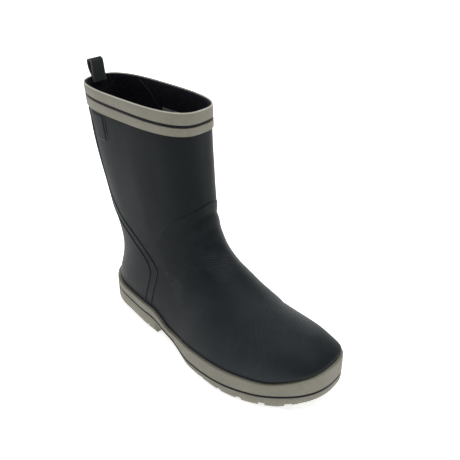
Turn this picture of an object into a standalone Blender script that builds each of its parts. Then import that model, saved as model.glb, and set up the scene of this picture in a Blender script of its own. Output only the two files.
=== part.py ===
# Rubber boot for the right foot, standing empty on its sole.
# The frame's origin is on the floor below the heel. +x runs to the toe, +y to the inner side of the foot.
# The functions count x from the back of the heel, and add_solid moves each piece into the frame.
import math

import bpy
import numpy as np
from mathutils.bvhtree import BVHTree

MM = 0.001
LENGTH = 292.0 * MM        # heel to toe, outside of the upper
BALL = 101.4 * MM          # width across the ball of the foot
HEIGHT = 270.0 * MM        # floor to the rim of the shaft
HEEL_TOP = 34.6 * MM       # floor to the top of the foxing at the heel
WALL = 2.2 * MM            # rubber and lining together
GAP = 0.35 * MM            # air left between neighbouring pieces
FOXING = 2.9 * MM          # thickness of the foxing strip
LINE_HALF = 0.9 * MM       # half height of the dark strip in the sole
BOARD = 4.0 * MM           # thickness of the insole
TAPE = 1.2 * MM            # thickness of the collar tapes
TAPE_ENDS = (0.0, 11.2 * MM, 11.5 * MM, 14.0 * MM, 14.3 * MM, 23.0 * MM)
RIB_WIDE, RIB_HIGH = 1.9 * MM, 0.9 * MM
RIB_SEAT = 0.9 * MM        # air under the ribs, more than GAP because the skin's facets stand out there
BADGE_THICK = 0.8 * MM
HEEL_SPOT = 62.0 * MM      # the frame's origin: this far in front of the back of the heel
VAMP_STEP = 0.7 * MM       # the vamp's second layer of rubber
VAMP_FADE, VAMP_SLOPE = 0.06, 0.012    # shares and rows over which that layer thins out
UPPER_COLUMNS, UPPER_STEP = 17, 13.0 * MM    # the upper's mesh: columns to each side, step of its rows
LOOP_WIDE, LOOP_THICK = 16.5 * MM, 1.9 * MM
LOOP_EYE = 4.6 * MM        # width of the loop's eye at its top
LOOP_RISE, LOOP_HANG = 21.0 * MM, 4.5 * MM
LOOP_BOW = 0.6 * MM        # how far the wall bends forward across the strap's width

# share of the length; centre and half width as shares of the ball width
OUTLINE = [
    (0.00, 0.020, 0.330),
    (0.12, 0.005, 0.339),
    (0.28, -0.008, 0.390),
    (0.42, -0.042, 0.394),
    (0.56, -0.082, 0.455),
    (0.70, -0.068, 0.500),
    (0.82, -0.010, 0.483),
    (0.92, 0.053, 0.459),
    (1.00, 0.106, 0.465),
]
HEEL_CAP, HEEL_POWER = 0.142 * LENGTH, 2.03
TOE_CAP, TOE_POWER = 0.248 * LENGTH, 2.43

# share of the length; top of the foxing and middle of the dark strip as shares of HEEL_TOP
LEVELS = [
    (0.00, 1.000, 0.731),
    (0.18, 0.917, 0.645),
    (0.30, 0.920, 0.640),
    (0.42, 0.592, 0.390),
    (0.56, 0.728, 0.263),
    (0.70, 0.824, 0.353),
    (0.85, 0.841, 0.428),
    (1.00, 1.222, 0.632),
]

HEEL_BREAST = (0.326, 0.334)    # shares of the length between which the heel block ends
# share of the length; height of the tread as a share of HEEL_TOP;
# how far the bottom edge and the side's step stand out from the upper, in mm
TREAD = [
    (0.000, 0.120, -6.5, -2.0),
    (0.020, 0.030, -5.0, -0.8),
    (0.055, 0.000, -3.0, 0.6),
    (0.120, 0.000, -1.6, 1.7),
    (HEEL_BREAST[0], 0.000, -0.8, 1.7),
    (HEEL_BREAST[1], 0.420, -6.0, 0.5),
    (0.420, 0.260, -7.0, 0.5),
    (0.500, 0.130, -5.0, 1.0),
    (0.530, 0.040, -1.0, 2.0),
    (0.565, 0.000, 0.8, 2.4),
    (0.800, 0.000, 0.8, 2.4),
    (0.900, 0.050, 0.6, 2.3),
    (1.000, 0.275, -1.5, 1.8),
]
STEP_SHARE = 0.32          # height of the side's step between tread and sole top
# channels between the lugs: centre as a share of the length, width and depth in mm
CHANNELS = [
    (0.161, 4.4, 5.4),
    (0.267, 4.4, 5.4),
    (0.627, 5.0, 3.2),
    (0.702, 5.0, 3.2),
    (0.777, 5.0, 3.2),
    (0.853, 5.0, 3.2),
    (0.928, 5.0, 3.2),
]

# one slanted section of the foot each: row, front line x (of LENGTH) and z (of HEIGHT),
# x where it meets the foxing (of LENGTH), ridge y and half width (of BALL), power of the curve
FOOT = [
    (0.00, 1.0000, 0.1585, 1.0000, 0.106, 0.060, 2.10),
    (0.03, 0.9985, 0.1690, 0.9830, 0.095, 0.200, 2.10),
    (0.06, 0.9910, 0.1760, 0.9590, 0.085, 0.280, 2.12),
    (0.10, 0.9690, 0.1920, 0.9140, 0.065, 0.360, 2.15),
    (0.15, 0.9175, 0.2195, 0.8425, 0.030, 0.434, 2.20),
    (0.22, 0.8221, 0.2541, 0.7397, -0.015, 0.487, 2.20),
    (0.29, 0.7192, 0.2965, 0.6164, -0.040, 0.490, 2.20),
    (0.36, 0.6290, 0.3620, 0.4795, -0.045, 0.445, 2.20),
    (0.43, 0.5690, 0.4174, 0.3288, -0.035, 0.418, 2.20),
    (0.50, 0.5202, 0.4831, 0.1712, -0.025, 0.390, 2.20),
    (0.56, 0.4950, 0.5459, 0.0411, -0.018, 0.368, 2.20),
    (0.59, 0.4865, 0.5740, 0.0000, -0.015, 0.360, 2.22),
]
CLOSE = FOOT[-1][0]
# one ring of the shaft each: row, front x and z, back x and z (of LENGTH and HEIGHT),
# centre y and half width (of BALL), power of the curve
SHAFT = [
    (0.59, 0.4865, 0.5740, 0.0000, 0.1300, -0.015, 0.360, 2.22),
    (0.63, 0.4815, 0.6090, 0.0340, 0.2500, -0.015, 0.354, 2.32),
    (0.70, 0.4762, 0.6704, 0.0155, 0.4070, -0.018, 0.349, 2.45),
    (0.78, 0.4705, 0.7519, -0.0200, 0.5670, -0.026, 0.352, 2.60),
    (0.86, 0.4668, 0.8333, -0.0548, 0.7400, -0.041, 0.356, 2.75),
    (0.93, 0.4658, 0.9056, -0.0791, 0.9148, -0.052, 0.351, 2.90),
    (1.00, 0.4664, 0.9943, -0.0911, 1.0035, -0.060, 0.330, 3.00),
]
STRAIGHTEN = 0.20         # rows over which the back line comes into line with the shaft's middle
FLARE = 22.0 * MM         # height over which the sides run into the outline of the foxing
RIM_ROWS = 0.07 / (24.0 * MM)    # rows per metre below the rim

# the two ribs on each side of the heel stay, as seen from the side: shares of LENGTH and of HEIGHT
RIB_FRONT = [
    (-0.0394, 0.9056), (-0.0065, 0.8470), (0.0082, 0.7615), (0.0277, 0.6467), (0.0503, 0.5593),
    (0.1048, 0.4763), (0.1764, 0.4267), (0.2507, 0.3804), (0.3003, 0.3481), (0.3301, 0.3204),
    (0.3342, 0.2852), (0.3164, 0.2037), (0.2986, 0.1235),
]
RIB_REAR = [
    (-0.0634, 0.9000), (-0.0377, 0.8296), (-0.0240, 0.7519), (-0.0068, 0.6444), (0.0103, 0.5593),
    (0.0342, 0.4963), (0.0753, 0.4481), (0.1346, 0.4130), (0.2041, 0.3704), (0.2640, 0.3352),
    (0.2911, 0.3059), (0.2945, 0.2667), (0.2740, 0.1789), (0.2623, 0.1235),
]
# lower edge of the shaft's seam: share of the way round, row where the vamp's second layer ends
VAMP_EDGE = [(0.00, 0.648), (0.10, 0.640), (0.27, 0.636), (0.36, 0.610), (0.44, 0.540), (0.50, 0.470), (1.00, 0.390)]
BADGE_ROWS, BADGE_ROUND = (0.876, 0.926), (0.662, 0.785)

COLOURS = {
    "rubber": (0.028, 0.034, 0.038),
    "greige": (0.300, 0.290, 0.225),
    "black": (0.012, 0.013, 0.015),
    "webbing": (0.035, 0.042, 0.042),
    "felt": (0.016, 0.016, 0.018),
}


def monotone(table, column):
    """Smooth curve through one column of a table, with no overshoot between its rows."""
    x = np.array([row[0] for row in table])
    y = np.array([row[column] for row in table])
    h = np.diff(x)
    d = np.diff(y) / h
    slope = np.zeros(len(x))
    same = d[:-1] * d[1:] > 0
    w1 = (2 * h[1:] + h[:-1])[same]
    w2 = (h[1:] + 2 * h[:-1])[same]
    inner = np.zeros(len(x) - 2)
    inner[same] = (w1 + w2) / (w1 / d[:-1][same] + w2 / d[1:][same])
    slope[1:-1] = inner
    slope[0], slope[-1] = d[0], d[-1]

    def value(at):
        at = np.clip(np.asarray(at, float), x[0], x[-1])
        k = np.clip(np.searchsorted(x, at, side="right") - 1, 0, len(h) - 1)
        t = (at - x[k]) / h[k]
        return (y[k] * (1 + 2 * t) * (1 - t) ** 2 + slope[k] * h[k] * t * (1 - t) ** 2
                + y[k + 1] * t * t * (3 - 2 * t) + slope[k + 1] * h[k] * t * t * (t - 1))
    return value


def natural(table, column):
    """Natural cubic spline through one column of a table."""
    x = np.array([row[0] for row in table])
    y = np.array([row[column] for row in table])
    n = len(x)
    h = np.diff(x)
    a = np.zeros((n, n))
    r = np.zeros(n)
    a[0, 0] = a[-1, -1] = 1.0
    for i in range(1, n - 1):
        a[i, i - 1:i + 2] = h[i - 1], 2 * (h[i - 1] + h[i]), h[i]
        r[i] = 6 * ((y[i + 1] - y[i]) / h[i] - (y[i] - y[i - 1]) / h[i - 1])
    c = np.linalg.solve(a, r)

    def value(at):
        at = np.clip(np.asarray(at, float), x[0], x[-1])
        k = np.clip(np.searchsorted(x, at, side="right") - 1, 0, n - 2)
        p, q = x[k + 1] - at, at - x[k]
        return ((c[k] * p ** 3 + c[k + 1] * q ** 3) / (6 * h[k])
                + (y[k] / h[k] - c[k] * h[k] / 6) * p + (y[k + 1] / h[k] - c[k + 1] * h[k] / 6) * q)
    return value


centre_share, half_share = monotone(OUTLINE, 1), monotone(OUTLINE, 2)
top_share, line_share = monotone(LEVELS, 1), monotone(LEVELS, 2)
front_line = [row[:3] for row in FOOT[:-1]] + [row[:3] for row in SHAFT]
middle = [(r[0],) + r[4:7] for r in FOOT[:-1]] + [(r[0],) + r[5:8] for r in SHAFT]
front_x, front_z = natural(front_line, 1), natural(front_line, 2)
ridge_y, row_half, row_power = (natural(middle, k) for k in (1, 2, 3))
feather_x = monotone(FOOT, 3)
back_x, back_z = natural(SHAFT, 3), natural(SHAFT, 4)
vamp_edge = monotone(VAMP_EDGE, 1)


def foot_centre(x):
    return BALL * centre_share(x / LENGTH)


def foot_half(x):
    """Half width of the foot: the table's width, rounded off by a cap at the heel and at the toe."""
    x = np.clip(x, 0.0, LENGTH)
    back = np.clip(1 - x / HEEL_CAP, 0, 1)
    front = np.clip((x - LENGTH + TOE_CAP) / TOE_CAP, 0, 1)
    return (BALL * half_share(x / LENGTH) * (1 - back ** HEEL_POWER) ** (1 / HEEL_POWER)
            * (1 - front ** TOE_POWER) ** (1 / TOE_POWER))


def foxing_top(x):
    return HEEL_TOP * top_share(x / LENGTH)


def sole_line(x):
    return HEEL_TOP * line_share(x / LENGTH)


def around(turn, out):
    """Point on the foot's outline at an angle (0 heel, pi toe, outer side first), moved out by a distance."""
    def plain(a):
        x = LENGTH * (1 - np.cos(a)) / 2
        side = np.where(np.sin(a) >= 0, -1.0, 1.0)
        return np.stack([x, foot_centre(x) + side * foot_half(x)], -1)
    turn = np.asarray(turn, float)
    step = plain(turn + 1e-3) - plain(turn - 1e-3)
    step /= np.linalg.norm(step, axis=-1, keepdims=True)
    return plain(turn) + np.asarray(out, float)[..., None] * np.stack([step[..., 1], -step[..., 0]], -1)


def curve_of_row(v):
    """Fine half section at row v: share along from front to back, half width, ends and middle line."""
    foot_row = v < CLOSE
    xf, zf = LENGTH * float(front_x(v)), HEIGHT * float(front_z(v))
    if foot_row:
        xb = LENGTH * float(feather_x(v))
        zb = float(foxing_top(xb)) + 0.5 * MM
        open_half = float(foot_half(xb))
    else:
        xb, zb, open_half = LENGTH * float(back_x(v)), HEIGHT * float(back_z(v)), 0.0
    ridge = BALL * float(ridge_y(v))
    if foot_row:
        base = float(foot_centre(xb))
    else:
        rise = min(1.0, (v - CLOSE) / STRAIGHTEN)
        low = 1 - rise * rise * (3 - 2 * rise)
        base = ridge + low * (float(foot_centre(0.0)) - BALL * float(ridge_y(CLOSE)))
    n = float(row_power(v))
    wide = max(BALL * float(row_half(v)), open_half * 1.0005 + 1e-7)
    last = math.pi
    if foot_row:
        arch = math.pi - math.asin((open_half / wide) ** (n / 2))
        reach = 1 - 2 * (xf - xb) / xf
        to_heel = math.acos(math.copysign(abs(reach) ** (n / 2), reach))
        mix = min(1.0, max(0.0, (v - 0.34) / 0.16))
        mix = mix * mix * (3 - 2 * mix)
        last = (1 - mix) * arch + mix * to_heel
    turn = np.linspace(0, 1, 181) * last
    along = (1 - np.sign(np.cos(turn)) * np.abs(np.cos(turn)) ** (2 / n))
    half = wide * np.abs(np.sin(turn)) ** (2 / n)
    along /= along[-1]
    if foot_row:
        end = open_half / max(half[-1], 1e-9) if open_half > 1e-7 else 1.0
        low = np.exp(-(1 - along) * math.dist((xf, zf), (xb, zb)) / FLARE)
        half = half * (1 + (end - 1) * low)
    return along, half, (xf, ridge, zf), (xb, base, zb)


def measure(along, half, first, last, bend):
    """Running length along a half section; bend adds length where the section turns."""
    size = math.dist(first, last)
    dx, dy = np.diff(along) * size, np.diff(half)
    piece = np.hypot(dx, dy)
    turn = np.abs(np.diff(np.unwrap(np.arctan2(dy, dx))))
    piece = piece + bend * np.concatenate([[0], turn])
    return np.concatenate([[0], np.cumsum(piece)])


def on_upper(v, shares, side):
    """Points of the upper's outside at row v, at shares of the way round from front to back or foxing."""
    along, half, first, last = curve_of_row(v)
    run = measure(along, half, first, last, 0.0)
    want = np.asarray(shares, float) * run[-1]
    a, h = np.interp(want, run, along)[..., None], np.interp(want, run, half)
    points = np.array(first) * (1 - a) + np.array(last) * a
    points[..., 1] += side * h
    return points


def mesh_shares(v, count):
    """Shares of the way round at which the mesh has its points: even, and closer where the section turns."""
    along, half, first, last = curve_of_row(v)
    even = measure(along, half, first, last, 0.0)
    bent = measure(along, half, first, last, UPPER_STEP)
    return np.interp(np.linspace(0, bent[-1], count), bent, even) / even[-1]


def upper_normal(v, s, side):
    """Outward direction of the upper's outside."""
    dv, ds = 0.004, 0.004
    v0, v1 = max(v - dv, 0.002), min(v + dv, 1.0)
    s0, s1 = max(s - ds, 0.0), min(s + ds, 1.0)
    across = on_upper(v, [s1], side)[0] - on_upper(v, [s0], side)[0]
    up = on_upper(v1, [s], side)[0] - on_upper(v0, [s], side)[0]
    n = np.cross(across, up) * side
    if s <= ds or s >= 1 - ds and v >= CLOSE:
        n[1] = 0.0
    return n / np.linalg.norm(n)


def side_point(x, z, side):
    """Point of the upper's outside that is seen from the side at x and z: its row is found by halving."""
    low, high = 0.02, 1.0
    for _ in range(34):
        v = (low + high) / 2
        along, half, first, last = curve_of_row(v)
        dx, dz = last[0] - first[0], last[2] - first[2]
        if dx * (z - first[2]) - dz * (x - first[0]) < 0:
            low = v
        else:
            high = v
    share = min(1.0, max(0.0, ((x - first[0]) * dx + (z - first[2]) * dz) / (dx * dx + dz * dz)))
    middle = first[1] * (1 - share) + last[1] * share
    return np.array([x, middle + side * np.interp(share, along, half), z])


def side_line(table, side, count):
    """Points and outward directions along a smooth line drawn on the side of the upper."""
    steps = [(k / (len(table) - 1), a, b) for k, (a, b) in enumerate(table)]
    t = np.linspace(0, 1, count)
    nudge = 0.5 * MM
    centre, out = [], []
    for x, z in zip(LENGTH * natural(steps, 1)(t), HEIGHT * natural(steps, 2)(t)):
        forward = side_point(x + nudge, z, side) - side_point(x - nudge, z, side)
        up = side_point(x, z + nudge, side) - side_point(x, z - nudge, side)
        normal = -side * np.cross(forward, up)
        centre.append(side_point(x, z, side))
        out.append(normal / np.linalg.norm(normal))
    return np.array(centre), np.array(out)


def material(name, colour, roughness):
    mat = bpy.data.materials.new(name)
    mat.use_nodes = True
    shader = mat.node_tree.nodes["Principled BSDF"]
    shader.inputs["Base Color"].default_value = colour + (1.0,)
    shader.inputs["Roughness"].default_value = roughness
    shader.inputs["Metallic"].default_value = 0.0
    mat.diffuse_color = colour + (1.0,)
    return mat


def add_solid(name, points, faces, colour, roughness):
    """Make one closed body from points and faces, turned so that its faces look out."""
    faces = [f for f in faces if len(set(f)) > 2]
    points = np.asarray(points, float) - np.array([HEEL_SPOT, 0.0, 0.0])
    volume = 0.0
    for face in faces:
        for i in range(1, len(face) - 1):
            a, b, c = points[face[0]], points[face[i]], points[face[i + 1]]
            volume += np.dot(a, np.cross(b, c))
    if volume < 0:
        faces = [tuple(reversed(f)) for f in faces]
    mesh = bpy.data.meshes.new(name)
    mesh.from_pydata([tuple(p) for p in points], [], faces)
    mesh.update()
    obj = bpy.data.objects.new(name, mesh)
    bpy.context.scene.collection.objects.link(obj)
    mesh.materials.append(material(name + "_material", COLOURS[colour], roughness))
    mesh.shade_smooth()
    mesh.set_sharp_from_angle(angle=math.radians(38))
    return obj


def drop_double(face):
    """A face without points that follow themselves."""
    return tuple(f for i, f in enumerate(face) if f != face[i - 1])


def foot_turns(count, extra=()):
    """Angles round the outer half of the outline: even, with the x stations in extra put in."""
    turns = list(np.linspace(0, math.pi, count + 1))
    marks = [math.acos(1 - 2 * x / LENGTH) for x in extra]
    keep = [t for t in turns if all(abs(t - m) > 0.022 for m in marks) or t in (0.0, math.pi)]
    return np.array(sorted(keep + marks))


def ring_of(turns):
    """Both halves of the outline as one ring of angles, and the x station of each."""
    both = np.concatenate([turns, 2 * math.pi - turns[-2:0:-1]])
    return both, LENGTH * (1 - np.cos(both)) / 2


def stacked_ring(name, count, levels, colour, roughness):
    """A closed strip round the foot: levels give, for each corner of its section, (stand-off, height)."""
    both, x = ring_of(foot_turns(count))
    n = len(both)
    points = []
    for out, height in levels:
        xy = around(both, np.full(n, out))
        points += [(xy[i, 0], xy[i, 1], height(x[i])) for i in range(n)]
    faces = []
    for k in range(len(levels)):
        a, b = k * n, (k + 1) % len(levels) * n
        faces += [(a + i, a + (i + 1) % n, b + (i + 1) % n, b + i) for i in range(n)]
    return add_solid(name, points, faces, colour, roughness)


def plate(name, turns, levels, colour, roughness):
    """A slab in the foot's outline: levels run from its underside to its top, as (stand-offs, heights)."""
    both, x = ring_of(turns)
    n, half = len(both), len(turns) - 1
    points = []
    for out, height in levels:
        xy = around(both, out(x))
        z = height(x)
        points += [(xy[i, 0], xy[i, 1], z[i]) for i in range(n)]
    faces = []
    for k in range(len(levels) - 1):
        a, b = k * n, (k + 1) * n
        faces += [(a + i, a + (i + 1) % n, b + (i + 1) % n, b + i) for i in range(n)]
    for a, flip in ((0, True), ((len(levels) - 1) * n, False)):
        for i in range(half):
            face = drop_double((a + i, a + i + 1, a + (n - i - 1) % n, a + (n - i) % n))
            faces.append(tuple(reversed(face)) if flip else face)
    return add_solid(name, points, faces, colour, roughness)


def build_sole():
    tread_x = [row[0] * LENGTH for row in TREAD]
    tread_z = [row[1] * HEEL_TOP for row in TREAD]
    bottom_out = [row[2] * MM for row in TREAD]
    side_out = [row[3] * MM for row in TREAD]
    slope = 0.5 * MM

    def channel_rise(x):
        rise = np.zeros(np.shape(x))
        for centre, wide, deep in CHANNELS:
            reach = np.abs(np.asarray(x) - centre * LENGTH) - wide * MM / 2
            rise = np.maximum(rise, deep * MM * np.clip(0.5 - reach / (2 * slope), 0, 1))
        return rise

    def tread_height(x):
        return np.interp(x, tread_x, tread_z) + channel_rise(x)

    def sole_top(x):
        return sole_line(x) - LINE_HALF - GAP

    def step_height(x):
        plain = np.interp(x, tread_x, tread_z)
        return np.maximum(plain + STEP_SHARE * (sole_top(x) - plain), tread_height(x) + 0.4 * MM)

    extra = [HEEL_BREAST[0] * LENGTH, HEEL_BREAST[1] * LENGTH]
    for centre, wide, deep in CHANNELS:
        edge = wide * MM / 2
        extra += [centre * LENGTH - edge - slope, centre * LENGTH - edge + slope]
        extra += [centre * LENGTH + edge - slope, centre * LENGTH + edge + slope]
    out_top = GAP + FOXING
    plate("outsole", foot_turns(40, extra), [
        (lambda x: np.interp(x, tread_x, bottom_out), tread_height),
        (lambda x: np.interp(x, tread_x, side_out), step_height),
        (lambda x: np.full(np.shape(x), out_top), lambda x: sole_top(x) - 1.2 * MM),
        (lambda x: np.full(np.shape(x), out_top - 0.5 * MM), sole_top),
    ], "greige", 0.62)
    stacked_ring("sole_stripe", 40, [
        (GAP, lambda x: sole_line(x) - LINE_HALF),
        (out_top - 0.5 * MM, lambda x: sole_line(x) - LINE_HALF),
        (out_top - 0.5 * MM, lambda x: sole_line(x) + LINE_HALF),
        (GAP, lambda x: sole_line(x) + LINE_HALF),
    ], "black", 0.5)
    stacked_ring("foxing", 40, [
        (GAP, lambda x: sole_line(x) + LINE_HALF + GAP),
        (out_top, lambda x: sole_line(x) + LINE_HALF + GAP),
        (out_top, lambda x: foxing_top(x) - 0.9 * MM),
        (out_top - 0.9 * MM, foxing_top),
        (GAP, foxing_top),
    ], "greige", 0.62)
    inside = -(WALL + GAP + 0.7 * MM)
    plate("insole", foot_turns(34), [
        (lambda x: np.full(np.shape(x), inside), lambda x: sole_top(x) + 2 * GAP),
        (lambda x: np.full(np.shape(x), inside), lambda x: sole_top(x) + 2 * GAP + BOARD),
    ], "felt", 0.95)


def row_stations(first, last, step, bend):
    """Rows between two rows: both their ends move by a step at most, less where the outline turns."""
    fine = np.linspace(first, last, 401)
    front, back = [], []
    for v in fine:
        along, half, one, two = curve_of_row(v)
        front.append(one)
        back.append((two[0], two[1] - half[-1], two[2]))
    front, back = np.diff(np.array(front), axis=0), np.diff(np.array(back), axis=0)
    turn = np.abs(np.diff(np.unwrap(np.arctan2(back[:, 1], back[:, 0])), prepend=0.0))
    turn[0] = 0.0
    run = np.maximum(np.linalg.norm(front, axis=1), np.linalg.norm(back, axis=1) + bend * turn)
    run = np.concatenate([[0], np.cumsum(run)])
    count = max(2, int(math.ceil(run[-1] / step)))
    return list(np.interp(np.linspace(0, run[-1], count + 1), run, fine))


def vamp_rise(v, s):
    """Height of the vamp's second layer of rubber: full below its edge, none where it meets the foxing."""
    inside = float(vamp_edge(s)) - v
    low = min(1.0, (1.0 - s) / VAMP_FADE, v / VAMP_FADE)
    return VAMP_STEP * max(0.0, low) * min(1.0, max(0.0, 0.5 + inside / VAMP_SLOPE))


def build_upper(columns, step):
    """The hollow upper: an outside and an inside skin, joined at the rim and at the open bottom."""
    low = row_stations(0.0, CLOSE, step, step)
    high = row_stations(CLOSE, 1.0, step, 0.0)[1:]
    rows = low + high
    closed = len(low) - 1
    points, index = [], {}

    def put(key, p):
        index[key] = len(points)
        points.append(p)

    for i, v in enumerate(rows):
        if i == 0:
            put((0, 0), on_upper(0.0, [0.0], 1)[0])
            for j in range(-columns, columns + 1):
                index[(0, j)] = index[(0, 0)]
            continue
        shares = mesh_shares(v, columns + 1)
        for side in (-1, 1):
            half = on_upper(v, shares, side)
            for j in range(columns + 1):
                if side == 1 and (j == 0 or j == columns and i >= closed):
                    continue
                put((i, side * j), half[j] + vamp_rise(v, shares[j]) * upper_normal(v, shares[j], side))
        if i >= closed:
            index[(i, columns)] = index[(i, -columns)]
    faces = []
    for i in range(len(rows) - 1):
        for j in range(-columns, columns):
            quad = [index[(i, j)], index[(i, j + 1)], index[(i + 1, j + 1)], index[(i + 1, j)]]
            turned = quad if j >= 0 else quad[1:] + quad[:1]
            faces.append(drop_double(turned))
    loop = [(i, -columns) for i in range(closed, 0, -1)] + [(0, 0)] + [(i, columns) for i in range(1, closed)]
    feather = [index[key] for key in loop]
    base = []
    for k in feather:
        x, y, z = points[k]
        base.append(len(points))
        points.append(np.array([x, y, float(sole_line(x)) - LINE_HALF + GAP]))
    n = len(feather)
    faces += [(feather[k], base[k], base[(k + 1) % n], feather[(k + 1) % n]) for k in range(n)]
    points = np.array(points)
    normals = np.zeros(points.shape)
    for face in faces:
        for i in range(1, len(face) - 1):
            a, b, c = points[face[0]], points[face[i]], points[face[i + 1]]
            area = np.cross(b - a, c - a)
            for k in (face[0], face[i], face[i + 1]):
                normals[k] += area
    normals /= np.linalg.norm(normals, axis=1)[:, None]
    rim = [index[(len(rows) - 1, j)] for j in range(-columns, columns)]
    if normals[rim[columns]][0] < 0:
        normals = -normals
    count = len(points)
    inner = points - WALL * normals
    for k in base:
        inner[k][2] = points[k][2]
    every = faces + [tuple(count + k for k in reversed(face)) for face in faces]
    every += [(rim[k], rim[(k + 1) % len(rim)], count + rim[(k + 1) % len(rim)], count + rim[k])
              for k in range(len(rim))]
    every += [(base[(k + 1) % n], base[k], count + base[k], count + base[(k + 1) % n]) for k in range(n)]
    add_solid("upper", np.concatenate([points, inner]), every, "rubber", 0.5)
    return BVHTree.FromPolygons([tuple(p) for p in points], faces)


def collar_ring(name, top, bottom, thick, columns, colour):
    """A tape round the collar, between two depths below the rim."""
    points = []
    for depth, out in ((top, GAP), (top, GAP + thick), (bottom, GAP + thick), (bottom, GAP)):
        v = 1.0 - depth * RIM_ROWS
        shares = mesh_shares(v, columns + 1)
        ring = []
        for side, order in ((-1, range(columns + 1)), (1, range(columns - 1, 0, -1))):
            half = on_upper(v, shares, side)
            ring += [half[j] + out * upper_normal(v, shares[j], side) for j in order]
        points += ring
    n = 2 * columns
    faces = []
    for k in range(4):
        a, b = k * n, (k + 1) % 4 * n
        faces += [(a + i, a + (i + 1) % n, b + (i + 1) % n, b + i) for i in range(n)]
    add_solid(name, points, faces, colour, 0.62 if colour == "greige" else 0.5)


def stay_rib(name, table, side, count, skin):
    """A raised rib along a line on the upper's skin, with sloping sides."""
    centre, out = side_line(table, side, count)
    centre = np.array([skin.find_nearest(p)[0] for p in centre])
    along = np.gradient(centre, axis=0)
    along /= np.linalg.norm(along, axis=1)[:, None]
    across = np.cross(out, along)
    across /= np.linalg.norm(across, axis=1)[:, None]
    section = [(-0.5, 0.0), (0.5, 0.0), (0.3, 1.0), (-0.3, 1.0)]
    points = []
    for k in range(count):
        for a, b in section:
            under = skin.find_nearest(centre[k] + a * RIB_WIDE * across[k])[0]
            points.append(np.array(under) + (RIB_SEAT + b * RIB_HIGH) * out[k])
    faces = [(0, 1, 2, 3), tuple(4 * (count - 1) + k for k in (3, 2, 1, 0))]
    for k in range(count - 1):
        for c in range(4):
            d = (c + 1) % 4
            faces.append((4 * k + c, 4 * (k + 1) + c, 4 * (k + 1) + d, 4 * k + d))
    add_solid(name, points, faces, "black", 0.35)


def build_badge(side, across, up):
    """The plain patch below the collar, following the shaft."""
    points = []
    for lift in (GAP, GAP + BADGE_THICK):
        for i in range(up + 1):
            v = BADGE_ROWS[0] + (BADGE_ROWS[1] - BADGE_ROWS[0]) * i / up
            for j in range(across + 1):
                s = BADGE_ROUND[0] + (BADGE_ROUND[1] - BADGE_ROUND[0]) * j / across
                points.append(on_upper(v, [s], side)[0] + lift * upper_normal(v, s, side))
    w, layer = across + 1, (across + 1) * (up + 1)
    faces = []
    for i in range(up):
        for j in range(across):
            a = i * w + j
            faces.append((a, a + 1, a + w + 1, a + w))
            faces.append((layer + a, layer + a + w, layer + a + w + 1, layer + a + 1))
    edge = [j for j in range(across)] + [i * w + across for i in range(up)]
    edge += [up * w + across - j for j in range(across)] + [(up - i) * w for i in range(up)]
    for k in range(len(edge)):
        a, b = edge[k], edge[(k + 1) % len(edge)]
        faces.append((a, layer + a, layer + b, b))
    add_solid("badge", points, faces, "rubber", 0.45)


def build_loop():
    """The pull loop: a strap folded into a drop shape, both legs sewn inside the back of the rim."""
    back, lower = on_upper(1.0, [1.0], 1)[0], on_upper(0.95, [1.0], 1)[0]
    lean = (lower[0] - back[0]) / (back[2] - lower[2])
    wall_side = WALL + LOOP_BOW + GAP
    inner_side = wall_side + 2 * LOOP_THICK
    bend = LOOP_THICK + LOOP_EYE / 2
    middle = inner_side - bend
    fork = 0.15 * LOOP_RISE

    def profile(radius, wall_x, inner_x):
        """One face of the strap, as (forward, up) from the rim, from its front leg over to its back leg."""
        turns = np.linspace(0, math.pi, 9)
        arch = [(middle + radius * math.cos(a), LOOP_RISE - bend + radius * math.sin(a)) for a in turns]
        return [(inner_x, fork)] + arch + [(wall_x, fork)]

    outer = profile(bend, wall_side, inner_side)
    eye = profile(LOOP_EYE / 2, wall_side + LOOP_THICK - 0.1 * MM, wall_side + LOOP_THICK + 0.1 * MM)
    feet = [(inner_side, -LOOP_HANG), (wall_side, -LOOP_HANG)]
    section = [feet[0]] + outer + [feet[1]] + eye
    points = []
    for y in (back[1] - LOOP_WIDE / 2, back[1] + LOOP_WIDE / 2):
        points += [(back[0] + forward - lean * up, y, back[2] + up) for forward, up in section]
    m, layer = len(outer), len(section)
    first_eye = m + 2
    faces = []
    for k in range(m - 1):
        faces.append((1 + k, 2 + k, first_eye + k + 1, first_eye + k))
    faces.append((0, 1, first_eye, first_eye + m - 1, m, m + 1))
    faces += [tuple(layer + i for i in reversed(f)) for f in faces]
    rim = list(range(m + 2))
    hole = list(range(first_eye, first_eye + m))
    for ring, flip in ((rim, False), (hole, True)):
        for i in range(len(ring)):
            a, b = ring[i], ring[(i + 1) % len(ring)]
            face = (b, a, layer + a, layer + b)
            faces.append(face[::-1] if flip else face)
    add_solid("pull_loop", points, faces, "webbing", 0.85)


def main():
    for obj in list(bpy.data.objects):
        bpy.data.objects.remove(obj, do_unlink=True)
    build_sole()
    skin = build_upper(UPPER_COLUMNS, UPPER_STEP)
    collar_ring("collar_tape_top", TAPE_ENDS[0], TAPE_ENDS[1], TAPE, UPPER_COLUMNS, "greige")
    collar_ring("collar_stripe", TAPE_ENDS[2], TAPE_ENDS[3], TAPE - 0.3 * MM, UPPER_COLUMNS, "black")
    collar_ring("collar_tape_bottom", TAPE_ENDS[4], TAPE_ENDS[5], TAPE, UPPER_COLUMNS, "greige")
    for side, where in ((-1, "outer"), (1, "inner")):
        stay_rib("stay_rib_front_" + where, RIB_FRONT, side, 46, skin)
        stay_rib("stay_rib_rear_" + where, RIB_REAR, side, 46, skin)
    build_badge(-1, 4, 4)
    build_loop()


main()
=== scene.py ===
# The looks of the rubber boot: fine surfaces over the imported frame, their materials, light and camera.
# The frame's origin is on the floor below the heel. +x runs to the toe, +y to the inner side of the foot.
# The functions count x from the back of the heel, and make_piece moves each piece into the frame.
import math

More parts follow.
